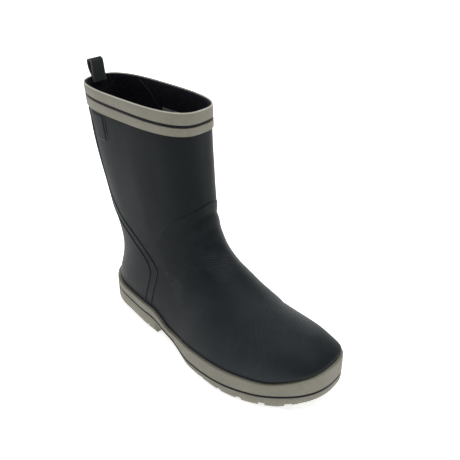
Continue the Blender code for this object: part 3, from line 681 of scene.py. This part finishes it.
def upper_rubber():
    """Dark blue-grey natural rubber over bias-cut canvas: satin, faintly mottled, with the cloth's
    ribs showing through on the toe and the instep, pale scuffs on the outer side, and painted light that
    pales the toe top."""
    mat = new_material("upper_rubber", 0.46, coat=0.02, coat_rough=0.34, specular=0.10)
    tree, shader, add = nodes_of(mat)
    place = add("ShaderNodeTexCoord").outputs["Object"]
    cloud = noise(add, tree, place, 16.0, 4.0)
    mottle = noise(add, tree, place, 130.0, 3.0)
    base = ramp(add, tree, cloud, [(0.30, UPPER_DARK), (0.72, UPPER_LIGHT)])
    speck = ramp(add, tree, mottle, [(0.35, 0.90), (0.70, 1.06)])
    colour = speckled(add, tree, base, speck)
    toe_ribs = stripes(add, tree, place, ALONG_BIAS, RIB_PITCH)
    side_ribs = stripes(add, tree, place, ACROSS_BIAS, RIB_PITCH * 1.25)
    patchy = ramp(add, tree, noise(add, tree, place, 26.0, 2.0), [(0.40, 0.15), (0.62, 1.0)])
    toe_part = maths(add, tree, "MULTIPLY", near(add, tree, place, TOE_RIBS, 0.062), patchy)
    side_part = maths(add, tree, "MULTIPLY", near(add, tree, place, INSTEP_RIBS, 0.055), patchy)
    ribs = maths(add, tree, "ADD", maths(add, tree, "MULTIPLY", toe_ribs, toe_part),
                 maths(add, tree, "MULTIPLY", side_ribs, side_part))
    # painted light: the toe top is mixed towards the paler colour to show the overhead lamp's light on it
    toe_light_share = maths(add, tree, "MULTIPLY", near(add, tree, place, TOE_PAINTED_LIGHT, 0.10), 0.16)
    colour = mix_colours(add, tree, toe_light_share, colour, UPPER_WORN_AND_LIT)
    rubbed = maths(add, tree, "MULTIPLY", ribs, 0.30)
    colour = mix_colours(add, tree, rubbed, colour, UPPER_WORN_AND_LIT)
    scratch = ramp(add, tree, noise(add, tree, stretched(add, tree, place, (1.0, 1.0, 0.22)), 240.0, 2.0),
                   [(0.66, 0.0), (0.74, 1.0)])
    scuff = maths(add, tree, "MULTIPLY", scratch, near(add, tree, place, SCUFF, 0.035))
    colour = mix_colours(add, tree, maths(add, tree, "MULTIPLY", scuff, 0.35), colour, UPPER_WORN_AND_LIT)
    tree.links.new(colour, shader.inputs["Base Color"])
    rough = ramp(add, tree, cloud, [(0.30, 0.42), (0.75, 0.53)])
    tree.links.new(rough, shader.inputs["Roughness"])
    grain = noise(add, tree, place, 900.0, 2.0)
    soft = bump(add, tree, noise(add, tree, place, 42.0, 2.0), 0.00035)
    ribbed = bump(add, tree, ribs, 0.00045, under=soft)
    tree.links.new(bump(add, tree, grain, 0.00006, under=ribbed), shader.inputs["Normal"])
    return mat


def stretched(add, tree, vector, scale):
    """The same coordinates drawn out along some axes."""
    node = add("ShaderNodeMapping")
    node.inputs["Scale"].default_value = scale
    tree.links.new(vector, node.inputs["Vector"])
    return node.outputs["Vector"]


def greige_rubber(name, light, dark, line_pitch):
    """Pale warm-grey rubber: matt, slightly dusty, with the fine lines of its mould or roller."""
    mat = new_material(name, 0.62, specular=0.38)
    tree, shader, add = nodes_of(mat)
    place = add("ShaderNodeTexCoord").outputs["Object"]
    cloud = noise(add, tree, place, 30.0, 5.0)
    fine = noise(add, tree, place, 520.0, 2.0)
    base = ramp(add, tree, cloud, [(0.28, dark), (0.70, light)])
    speck = ramp(add, tree, fine, [(0.35, 0.90), (0.68, 1.05)])
    tree.links.new(speckled(add, tree, base, speck), shader.inputs["Base Color"])
    lines = stripes(add, tree, place, (0.0, 0.0, 1.0), line_pitch)
    lined = bump(add, tree, lines, 0.00010)
    tree.links.new(bump(add, tree, fine, 0.00010, under=lined), shader.inputs["Normal"])
    return mat


def black_rubber(name, colour, roughness):
    """Plain black rubber with a fine grain."""
    mat = new_material(name, roughness, specular=0.10)
    tree, shader, add = nodes_of(mat)
    place = add("ShaderNodeTexCoord").outputs["Object"]
    lighter = tuple(1.4 * c for c in colour)
    base = ramp(add, tree, noise(add, tree, place, 60.0), [(0.3, colour), (0.7, lighter)])
    tree.links.new(base, shader.inputs["Base Color"])
    tree.links.new(bump(add, tree, noise(add, tree, place, 700.0), 0.00006), shader.inputs["Normal"])
    return mat


def fleece():
    """Black looped lining: almost no gloss, with lint specks and a curly pile."""
    mat = new_material("black_fleece", 1.0, sheen=0.12, specular=0.08)
    tree, shader, add = nodes_of(mat)
    place = add("ShaderNodeTexCoord").outputs["Object"]
    shader.inputs["Sheen Tint"].default_value = (0.45, 0.47, 0.55, 1.0)
    pile = add("ShaderNodeTexVoronoi")
    pile.inputs["Scale"].default_value = 620.0
    tree.links.new(place, pile.inputs["Vector"])
    lint = noise(add, tree, place, 900.0, 2.0)
    base = ramp(add, tree, lint, [(0.45, (0.006, 0.006, 0.009)), (0.66, (0.012, 0.012, 0.018)),
                                  (0.76, (0.075, 0.075, 0.092))])
    tree.links.new(base, shader.inputs["Base Color"])
    curls = bump(add, tree, pile.outputs["Distance"], 0.0007)
    tree.links.new(bump(add, tree, lint, 0.0006, under=curls), shader.inputs["Normal"])
    return mat


def webbing():
    """Woven strap: ribs across and along on its own UV map, greyer on its selvedges."""
    mat = new_material("loop_webbing", 0.85, sheen=0.10, specular=0.15)
    tree, shader, add = nodes_of(mat)
    surface = add("ShaderNodeUVMap", uv_map="surface").outputs["UV"]
    split = add("ShaderNodeSeparateXYZ")
    tree.links.new(surface, split.inputs["Vector"])
    across = maths(add, tree, "SINE", maths(add, tree, "MULTIPLY", split.outputs["X"], 2 * math.pi / 0.00085))
    along = maths(add, tree, "SINE", maths(add, tree, "MULTIPLY", split.outputs["Y"], 2 * math.pi / 0.0011))
    weave = maths(add, tree, "MULTIPLY_ADD", maths(add, tree, "MULTIPLY", across, along), 0.5, 0.5)
    edge = maths(add, tree, "ABSOLUTE", split.outputs["X"])
    selvedge = add("ShaderNodeMapRange", interpolation_type="SMOOTHSTEP")
    selvedge.inputs["From Min"].default_value = LOOP_WIDE / 2 - 0.0016
    selvedge.inputs["From Max"].default_value = LOOP_WIDE / 2 - 0.0004
    tree.links.new(edge, selvedge.inputs["Value"])
    base = ramp(add, tree, weave, [(0.0, (0.005, 0.008, 0.008)), (1.0, (0.020, 0.026, 0.025))])
    colour = mix_colours(add, tree, maths(add, tree, "MULTIPLY", selvedge.outputs["Result"], 0.55),
                         base, (0.115, 0.120, 0.112))
    tree.links.new(colour, shader.inputs["Base Color"])
    tree.links.new(bump(add, tree, weave, 0.00035), shader.inputs["Normal"])
    return mat


def label_cloth():
    """Pale woven patch, left bare."""
    mat = new_material("bare_label", 0.8, sheen=0.2, specular=0.3)
    tree, shader, add = nodes_of(mat)
    place = add("ShaderNodeTexCoord").outputs["Object"]
    lines = stripes(add, tree, place, (0.75, 0.66, 0.0), 0.0008)
    base = ramp(add, tree, lines, [(0.0, (0.16, 0.16, 0.155)), (1.0, (0.34, 0.34, 0.33))])
    tree.links.new(base, shader.inputs["Base Color"])
    tree.links.new(bump(add, tree, lines, 0.0002), shader.inputs["Normal"])
    return mat


def bell(x, centre, width):
    """Soft hump: exp of minus the squared distance over the width squared."""
    return np.exp(-((x - centre) / width) ** 2)


def upper_relief(skin):
    """Height above the bare surface: the vamp's second layer, soft folds and slack."""
    v, s = skin.rows[:, None], skin.shares
    edge = vamp_edge(s)
    blend = smooth((s - SEAM_FADE[0]) / (SEAM_FADE[1] - SEAM_FADE[0]))
    layer = VAMP_STEP * smooth(0.5 + (edge - v) / (0.006 + 0.16 * blend))
    layer = layer * np.clip((1 - s) / VAMP_FADE, 0, 1) * np.clip(v / VAMP_FADE, 0, 1)
    lip = 0.25 * MM * bell(v, edge - 0.006, 0.004) * (1 - blend)
    folds = 0.0
    for row, depth, width, reach, lean, side in FOLDS:
        near_front = np.exp(-(s / reach) ** 2)
        one_side = 1.0 if side == 0 else 0.5 + 0.5 * np.tanh(6 * side * s * skin.sides)
        folds = folds + depth * MM * bell(v, row - lean * s, width) * near_front * one_side
    slack = np.zeros(s.shape)
    for row, share, side, height, tall, wide in SLACK:
        slack += height * MM * bell(v, row, tall) * bell(s, share, wide) * (skin.sides == side)
    fade = np.clip((1.0 - v) / 0.10, 0, 1) * np.clip((1 - s) / 0.05, 0, 1)
    return layer + lip + (folds + slack) * np.where(v < CLOSE, fade, np.clip((1.0 - v) / 0.10, 0, 1))


def feather_ring(skin, number):
    """Vertex numbers along the foxing: outer side from the heel to the toe, then the inner side back."""
    outer = number[skin.closed:0:-1, 0]
    inner = number[1:skin.closed, -1]
    return np.concatenate([outer, number[0, :1], inner])


def build_upper(rubber, lining):
    """Outer skin, lining and rim as one closed body, run down behind the foxing to the sole."""
    skin = Skin(SKIN_STEP, SKIN_COLUMNS)
    number, keep = skin.index()
    outside = skin.lifted(upper_relief(skin))[keep]
    pile = 0.0
    for turn, (way, pitch) in enumerate(PILE_WAVES):
        phase = skin.bare @ np.array(way) * (2 * math.pi / (pitch * MM))
        pile = pile + PILE_HIGH * np.sin(phase + turn)
    inside = skin.lifted(pile - WALL)[keep]
    ring = feather_ring(skin, number)
    n, count = len(ring), len(outside)
    base_out = outside[ring].copy()
    level = skin.normals[keep][ring]
    level[:, 2] = 0.0
    level /= np.linalg.norm(level, axis=1, keepdims=True)
    bare = skin.bare[keep][ring]
    base_out[:, :2] = bare[:, :2]
    base_out[:, 2] = sole_line(bare[:, 0]) - LINE_HALF + GAP
    base_in = base_out - WALL * level
    points = np.concatenate([outside, inside, base_out, base_in])
    grid = quads(number)
    shell = without_doubles(grid)
    lining_faces = without_doubles(grid[:, ::-1] + count)
    rim = number[-1]
    rim_faces = np.stack([rim[:-1], rim[1:], rim[1:] + count, rim[:-1] + count], -1)
    after = np.roll(np.arange(n), -1)
    low = 2 * count + np.arange(n)
    skirt_out = np.stack([ring, low, low[after], ring[after]], -1)
    skirt_in = np.stack([ring + count, ring[after] + count, low[after] + n, low + n], -1)
    sole_faces = np.stack([low, low + n, low[after] + n, low[after]], -1)
    faces = shell + lining_faces + rim_faces.tolist() + skirt_out.tolist()
    faces += skirt_in.tolist() + sole_faces.tolist()
    slots = [0] * len(shell) + [1] * (len(lining_faces) + len(rim_faces)) + [0] * n + [1] * n + [0] * n
    faces = turned_out(points, faces)
    make_piece("upper_skin", points, faces, [rubber, lining], ["upper"], slots)


def ring_at(v, lift, half_columns):
    """A ring round the shaft at row v, moved out by a lift."""
    shares = mesh_shares(v, half_columns + 1)

    def loop(row):
        return np.concatenate([on_upper(row, shares[:-1], -1), on_upper(row, shares[:0:-1], 1)])
    here, below = loop(v), loop(v - 0.004)
    normal = np.cross(np.roll(here, -1, axis=0) - np.roll(here, 1, axis=0), here - below)
    normal /= np.linalg.norm(normal, axis=1, keepdims=True)
    middle = here.mean(axis=0)
    if ((here - middle) * normal).sum() < 0:
        normal = -normal
    return here + lift * normal


def rounded_strip(top, bottom, inner, outer, radius, corners=4):
    """Section of a strip as (depth, lift): square behind, its two front corners rounded."""
    turns = np.linspace(0, math.pi / 2, corners)
    high = [(top + radius - radius * math.sin(math.pi / 2 - a),
             outer - radius + radius * math.cos(math.pi / 2 - a)) for a in turns]
    low = [(bottom - radius + radius * math.sin(a), outer - radius + radius * math.cos(a)) for a in turns]
    return [(top, inner)] + high + low + [(bottom, inner)]


def build_collar(greige, black, pale):
    """Two tapes with a dark line between them, and a pale bead along the rim."""
    top, gap_top, gap_low, low_top, low = TAPE_ENDS[1], TAPE_ENDS[2], TAPE_ENDS[3], TAPE_ENDS[4], TAPE_ENDS[5]
    strips = [
        ("collar_tape_top_skin", TAPE_ENDS[0], top, TAPE, 0.35 * MM, greige, "collar_tape_top"),
        ("collar_stripe_skin", gap_top, gap_low, TAPE - 0.35 * MM, 0.15 * MM, black, "collar_stripe"),
        ("collar_tape_bottom_skin", low_top, low, TAPE, 0.45 * MM, greige, "collar_tape_bottom"),
    ]
    for name, start, end, thick, radius, mat, node in strips:
        section = rounded_strip(start, end, 0.05 * MM, GAP + thick, radius)
        rings = [ring_at(1.0 - depth * RIM_ROWS, lift, RING_COLUMNS) for depth, lift in section]
        closed_strip(name, rings, [mat], [node], flat=50)
    turns = np.linspace(0, 2 * math.pi, 9)[:-1]
    middle = ring_at(1.0, GAP + 0.35 * MM, RING_COLUMNS)
    outward = ring_at(1.0, GAP + 1.35 * MM, RING_COLUMNS) - middle
    outward /= np.linalg.norm(outward, axis=1, keepdims=True)
    rings = [middle + BEAD * (0.95 * math.cos(a) * outward + np.array([0, 0, math.sin(a) + 0.35]))
             for a in turns]
    closed_strip("rim_bead", rings, [pale])


def build_stays(black):
    """The dark ribs of the heel stay, half round in section, on both sides."""
    turns = np.linspace(0, math.pi, 7)
    half_round = [(RIB_WIDE * 0.52 * math.cos(a), -0.1 * MM + RIB_HIGH * 0.95 * math.sin(a)) for a in turns]
    for side, where in ((-1, "outer"), (1, "inner")):
        for name, table in (("front", RIB_FRONT), ("rear", RIB_REAR)):
            centre, out = side_line(table, side, RIB_STATIONS)
            across = np.cross(out, np.gradient(centre, axis=0))
            across /= np.linalg.norm(across, axis=1, keepdims=True)
            node = "stay_rib_%s_%s" % (name, where)
            swept(node + "_skin", centre, across, out, half_round, [black], [node], flat=60)


def surface_patch(name, v_range, s_range, side, thick, soft, across, up, materials, nodes=(), lift=0.0):
    """A thin patch on the upper between two rows and two shares: a grid lifted off the surface, its
    edges brought down softly, and closed behind."""
    a = np.linspace(-1, 1, across + 1)
    b = np.linspace(-1, 1, up + 1)
    edge = smooth((1 - np.abs(a)) / soft)[None, :] * smooth((1 - np.abs(b)) / soft)[:, None]
    shares = s_range[0] + (s_range[1] - s_range[0]) * (a + 1) / 2
    rows = v_range[0] + (v_range[1] - v_range[0]) * (b + 1) / 2
    flat = np.array([on_upper(v, shares, side) for v in rows])
    normal = np.array([[upper_normal(v, s, side) for s in shares] for v in rows])
    top = flat + (lift + 0.05 * MM + thick * edge)[..., None] * normal
    under = flat + (lift - 0.10 * MM) * normal
    w, h = across + 1, up + 1
    number = np.arange(w * h).reshape(h, w)
    ring = np.concatenate([number[0, :-1], number[:-1, -1], number[-1, :0:-1], number[:0:-1, 0]])
    after = np.roll(ring, -1)
    faces = quads(number).tolist() + (quads(number)[:, ::-1] + w * h).tolist()
    faces += np.stack([ring, ring + w * h, after + w * h, after], -1).tolist()
    points = np.concatenate([top.reshape(-1, 3), under.reshape(-1, 3)])
    return make_piece(name, points, turned_out(points, faces), materials, nodes)


def strip_round(name, count, section, mat, node):
    """A strip round the foot: section gives (stand-off, height function) for each corner."""
    both = np.linspace(0, 2 * math.pi, count + 1)[:-1]
    x = LENGTH * (1 - np.cos(both)) / 2
    rings = [np.column_stack([around(both, np.full(count, out)), height(x)]) for out, height in section]
    return closed_strip(name, rings, [mat], [node], flat=50)


def build_foxing(greige, black):
    """The pale strip round the foot, bowed out a little, and the dark line under it."""
    out = GAP + FOXING
    bottom = LINE_HALF + 0.05 * MM

    def between(share):
        return lambda x: (1 - share) * (sole_line(x) + bottom) + share * foxing_top(x)

    round_edge = 1.3 * MM
    section = [(0.05 * MM, between(0.0)), (out - 0.3 * MM, between(0.0))]
    section += [(out + 0.20 * MM * math.sin(math.pi * k / 6), between(0.02 + 0.90 * k / 6)) for k in range(7)]

    def rounded(turn):
        return lambda x: between(0.92)(x) + (foxing_top(x) - between(0.92)(x)) * math.sin(turn)

    for k in range(1, 5):
        turn = math.pi / 2 * k / 4
        section.append((out - round_edge * (1 - math.cos(turn)), rounded(turn)))
    section.append((0.05 * MM, foxing_top))
    strip_round("foxing_skin", STRIP_CORNERS, section, greige, "foxing")
    tall = LINE_HALF + 0.3 * MM
    strip_round("sole_stripe_skin", STRIP_CORNERS, [
        (0.05 * MM, lambda x: sole_line(x) - LINE_HALF),
        (out - 0.6 * MM, lambda x: sole_line(x) - LINE_HALF),
        (out + 0.12 * MM, lambda x: sole_line(x) - tall),
        (out + 0.22 * MM, sole_line),
        (out + 0.12 * MM, lambda x: sole_line(x) + tall),
        (out - 0.6 * MM, lambda x: sole_line(x) + LINE_HALF),
        (0.05 * MM, lambda x: sole_line(x) + LINE_HALF),
    ], black, "sole_stripe")


def build_outsole(greige, painted_shade):
    """The moulded sole: its side wall with a step, rounded tread edge, notches and channels, whose low walls
    carry a painted shade.
    """
    tread_x = [row[0] * LENGTH for row in TREAD]
    tread_z = [row[1] * HEEL_TOP for row in TREAD]
    bottom_out = [row[2] * MM for row in TREAD]
    side_out = [row[3] * MM for row in TREAD]
    slope = 0.5 * MM

    def channel(x):
        rise = np.zeros(x.shape)
        for centre, wide, deep in CHANNELS:
            reach = np.abs(x - centre * LENGTH) - wide * MM / 2
            rise = np.maximum(rise, deep * MM * np.clip(0.5 - reach / (2 * slope), 0, 1))
        return rise

    marks = [HEEL_BREAST[0] * LENGTH, HEEL_BREAST[1] * LENGTH]
    for centre, wide, deep in CHANNELS:
        for edge in (-wide * MM / 2, wide * MM / 2):
            marks += [centre * LENGTH + edge - slope, centre * LENGTH + edge, centre * LENGTH + edge + slope]
    mark_turns = [math.acos(1 - 2 * x / LENGTH) for x in marks]
    even = np.linspace(0, math.pi, 200)
    kept = [t for t in even if all(abs(t - m) > 0.004 for m in mark_turns) or t in (0.0, math.pi)]
    half = np.array(sorted(kept + mark_turns))
    both = np.concatenate([half, 2 * math.pi - half[-2:0:-1]])
    x = LENGTH * (1 - np.cos(both)) / 2
    n = len(both)
    plain = np.interp(x, tread_x, tread_z)
    tread = plain + channel(x)
    top = sole_line(x) - LINE_HALF
    step = np.maximum(plain + STEP_SHARE * (top - plain), tread + 0.4 * MM)
    cut = NOTCH_DEPTH * np.clip(channel(x) / NOTCH_FULL, 0, 1)
    low_out, mid_out = np.interp(x, tread_x, bottom_out) - cut, np.interp(x, tread_x, side_out) - cut
    full = GAP + FOXING
    ease = 0.9 * MM
    levels = [(low_out - CHANNEL_REACH - slope, plain), (low_out - CHANNEL_REACH, tread),
              (low_out - ease, tread), (low_out - 0.3 * ease, tread + 0.25 * ease),
              (low_out, tread + ease)]
    for share in (0.35, 0.7, 1.0):
        rise = tread + ease + (step - tread - ease) * share
        levels.append((low_out + (mid_out - low_out) * share, np.maximum(tread + ease, rise)))
    levels += [(mid_out + 0.75 * (full - mid_out), step + 0.5 * MM), (full + 0 * x, step + 1.4 * MM)]
    levels = [(out, np.minimum(z, top - 0.2 * MM)) for out, z in levels]
    levels += [(full + 0 * x, top - 0.5 * MM), (full - 0.35 * MM + 0 * x, top - 0.05 * MM),
               (full - 0.9 * MM + 0 * x, top)]
    rings = np.array([np.column_stack([around(both, out), z]) for out, z in levels])
    number = np.arange(rings.shape[0] * n).reshape(-1, n)
    faces = quads(np.concatenate([number, number[:, :1]], axis=1)).tolist()
    # painted shade: faces low in the deeper channels take the dark second material, standing in for the
    # shadow inside them
    low_rows, in_channel = 7, channel(x) > CHANNEL_DARK
    dark = np.tile(in_channel & in_channel[(np.arange(n) + 1) % n], rings.shape[0] - 1)
    dark[low_rows * n:] = False
    m = len(half) - 1
    i = np.arange(m)
    cap = np.stack([i, i + 1, (n - i - 1) % n, (n - i) % n], -1)
    faces += without_doubles(cap[:, ::-1]) + without_doubles(cap + (rings.shape[0] - 1) * n)
    slots = dark.astype(int).tolist() + [0] * (len(faces) - len(dark))
    make_piece("outsole_skin", rings, turned_out(rings, faces), [greige, painted_shade],
               ["outsole"], slots, flat=40)


def build_loop(cloth):
    """The pull loop: a strap folded into a drop shape behind the rim."""
    back, lower = on_upper(1.0, [1.0], 1)[0], on_upper(0.95, [1.0], 1)[0]
    lean = (lower[0] - back[0]) / (back[2] - lower[2])
    wall_side = WALL + LOOP_BOW + GAP
    inner_side = wall_side + 2 * LOOP_THICK
    bend = LOOP_THICK + LOOP_EYE / 2
    middle = inner_side - bend
    half = LOOP_THICK / 2
    fork = 0.15 * LOOP_RISE
    radius = bend - half
    line = [(inner_side - half, -LOOP_HANG), (inner_side - half, -0.5 * LOOP_HANG),
            (inner_side - half, fork * 0.3), (inner_side - half + 0.1 * MM, 0.45 * LOOP_RISE)]
    line += [(middle + radius * math.cos(a), LOOP_RISE - bend + radius * math.sin(a))
             for a in np.linspace(0.0, math.pi, 9)]
    line += [(middle - radius + 0.9 * MM, 0.40 * LOOP_RISE), (wall_side + half, fork * 0.5),
             (wall_side + half, -0.5 * LOOP_HANG), (wall_side + half, -LOOP_HANG)]
    steps = [(k / (len(line) - 1), a, b) for k, (a, b) in enumerate(line)]
    t = np.linspace(0, 1, 120)
    forward, up = natural(steps, 1)(t), natural(steps, 2)(t)
    centre = np.column_stack([back[0] + forward - lean * up, np.full(len(t), back[1]), back[2] + up])
    along = np.gradient(centre, axis=0)
    along /= np.linalg.norm(along, axis=1, keepdims=True)
    across = np.broadcast_to(np.array([0.0, 1.0, 0.0]), along.shape)
    out = np.cross(across, along)
    y = np.linspace(-1, 1, 15)
    thick = half * (0.80 + 0.12 * np.abs(y) ** 6)
    face = [(LOOP_WIDE / 2 * a, b) for a, b in zip(y, thick)]
    section = np.array(face + [(a, -b) for a, b in face[::-1]])
    rings = centre[:, None] + section[None, :, :1] * across[:, None] + section[None, :, 1:] * out[:, None]
    k = len(section)
    number = np.arange(len(t) * k).reshape(len(t), k)
    grid = np.concatenate([number, number[:, :1]], axis=1)
    faces = quads(grid).tolist() + [list(range(k)), list(range((len(t) - 1) * k, len(t) * k))[::-1]]
    run = np.concatenate([[0], np.cumsum(np.linalg.norm(np.diff(centre, axis=0), axis=1))])
    uv = np.stack(np.broadcast_arrays(section[None, :, 0], run[:, None]), -1)
    make_piece("pull_loop_strap", rings, turned_out(rings, faces), [cloth], ["pull_loop"], uv=uv)


def build_lining_details(skin_thread, label):
    """Inside the collar: the lining's slanting seam and the bare patch at the front."""
    t = np.linspace(0, 1, 60)
    rows = 0.995 - 0.165 * t
    shares = SEAM_START + (SEAM_END - SEAM_START) * t
    normal = np.array([upper_normal(v, s, 1) for v, s in zip(rows, shares)])
    centre = np.array([on_upper(v, [s], 1)[0] for v, s in zip(rows, shares)]) - (WALL + 0.15 * MM) * normal
    out = -normal
    across = np.cross(out, np.gradient(centre, axis=0))
    across /= np.linalg.norm(across, axis=1, keepdims=True)
    turns = np.linspace(0, math.pi, 6)
    section = [(0.55 * MM * math.cos(a), 0.55 * MM * math.sin(a)) for a in turns]
    swept("lining_seam", centre, across, out, section, [skin_thread])
    surface_patch("bare_label", LABEL_ROWS, LABEL_ROUND, 1, -0.5 * MM, 0.06, 20, 10, [label],
                  lift=-WALL - 0.25 * MM)


def area_light(name, place, aim, size, power, colour=(1.0, 1.0, 1.0)):
    """A soft square light, turned to look at a point."""
    data = bpy.data.lights.new(name, "AREA")
    data.shape = "RECTANGLE"
    data.size, data.size_y = size
    data.energy = power
    data.color = colour
    lamp = bpy.data.objects.new(name, data)
    bpy.context.scene.collection.objects.link(lamp)
    lamp.location = place
    lamp.rotation_euler = (Vector(aim) - Vector(place)).to_track_quat("-Z", "Y").to_euler()


def build_studio():
    """Pale floor with a low round wall, white surroundings and soft lights."""
    mesh = bpy.data.meshes.new("floor")
    wide, tall, count = 6.0, 1.7, 48
    turns = [2 * math.pi * k / count for k in range(count)]
    points = [(wide * math.cos(a), wide * math.sin(a), z) for z in (0.0, tall) for a in turns]
    wall = [(k + count, (k + 1) % count + count, (k + 1) % count, k) for k in range(count)]
    mesh.from_pydata(points, [], [tuple(range(count))] + wall)
    floor = bpy.data.objects.new("floor", mesh)
    paper = bpy.data.materials.new("paper")
    paper.use_nodes = True
    shader = paper.node_tree.nodes["Principled BSDF"]
    shader.inputs["Base Color"].default_value = (0.92, 0.92, 0.92, 1.0)
    shader.inputs["Roughness"].default_value = 0.9
    shader.inputs["Specular IOR Level"].default_value = 0.1
    shader.inputs["Emission Color"].default_value = (1.0, 1.0, 1.0, 1.0)
    shader.inputs["Emission Strength"].default_value = 0.68
    mesh.materials.append(paper)
    bpy.context.scene.collection.objects.link(floor)
    world = bpy.data.worlds.new("white_room")
    world.use_nodes = True
    world.node_tree.nodes["Background"].inputs["Color"].default_value = (1.0, 1.0, 1.0, 1.0)
    world.node_tree.nodes["Background"].inputs["Strength"].default_value = 0.26
    bpy.context.scene.world = world
    aim = (0.10, 0.0, 0.12)
    area_light("window", (-1.2, -0.9, 0.75), aim, (0.9, 1.1), 1.8)
    area_light("overhead", (0.20, 0.10, 1.35), aim, (0.9, 1.8), 11.0)
    area_light("rim", (-0.9, 1.25, 1.0), aim, (1.5, 0.9), 18.0)


def build_camera():
    """The photograph's view: solved from the boot's own outlines."""
    azimuth, height, roll = (math.radians(a) for a in (VIEW_AZIMUTH, VIEW_HEIGHT, VIEW_ROLL))
    flat = math.cos(height)
    back = Vector((math.sin(azimuth) * flat, -math.cos(azimuth) * flat, math.sin(height)))
    right = Vector((math.cos(azimuth), math.sin(azimuth), 0.0))
    up = back.cross(right)
    turned_right = right * math.cos(roll) + up * math.sin(roll)
    turned_up = up * math.cos(roll) - right * math.sin(roll)
    data = bpy.data.cameras.new("camera")
    camera = bpy.data.objects.new("camera", data)
    bpy.context.scene.collection.objects.link(camera)
    place = Vector(VIEW_AIM) + back * VIEW_DISTANCE
    turn = Matrix((turned_right, turned_up, back)).transposed().to_4x4()
    camera.matrix_world = Matrix.Translation(place) @ turn
    data.sensor_fit = "HORIZONTAL"
    data.angle = 2 * math.atan(PHOTO_PIXELS / 2 / VIEW_FOCUS)
    data.shift_x = 0.5 - VIEW_CENTRE[0] / PHOTO_PIXELS
    data.shift_y = VIEW_CENTRE[1] / PHOTO_PIXELS - 0.5
    data.clip_start = 0.01
    bpy.context.scene.camera = camera


def main():
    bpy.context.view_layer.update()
    bpy.context.scene.view_settings.view_transform = "Standard"
    build_camera()
    build_studio()
    rubber, lining = upper_rubber(), fleece()
    greige = greige_rubber("greige_rubber", GREIGE_LIGHT, GREIGE_DARK, 0.9 * MM)
    pale = greige_rubber("pale_bead", BEAD_LIGHT, BEAD_DARK, 2.0 * MM)
    black = black_rubber("black_line", (0.0055, 0.0060, 0.0085), 0.50)
    build_upper(rubber, lining)
    build_collar(greige, black, pale)
    build_stays(black)
    build_foxing(greige, black)
    sole = greige_rubber("greige_sole", GREIGE_LIGHT, GREIGE_LIGHT, 0.9 * MM)
    # the sole's second material is dark painted shade for the inside of the deep channels
    build_outsole(sole, black_rubber("channel_painted_shade", (0.020, 0.020, 0.016), 0.9))
    surface_patch("badge_skin", BADGE_ROWS, BADGE_ROUND, -1, BADGE_THICK * 0.7, 0.10, 28, 28, [rubber],
                  ["badge"])
    surface_patch("badge_line", BADGE_LINE_ROWS, BADGE_LINE_ROUND, -1, 0.5 * MM, 0.9, 4, 24, [black])
    build_loop(webbing())
    build_lining_details(black_rubber("seam_thread", (0.030, 0.031, 0.036), 0.8), label_cloth())
    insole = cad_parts["insole"]
    insole.data.materials.clear()
    insole.data.materials.append(lining)


main()
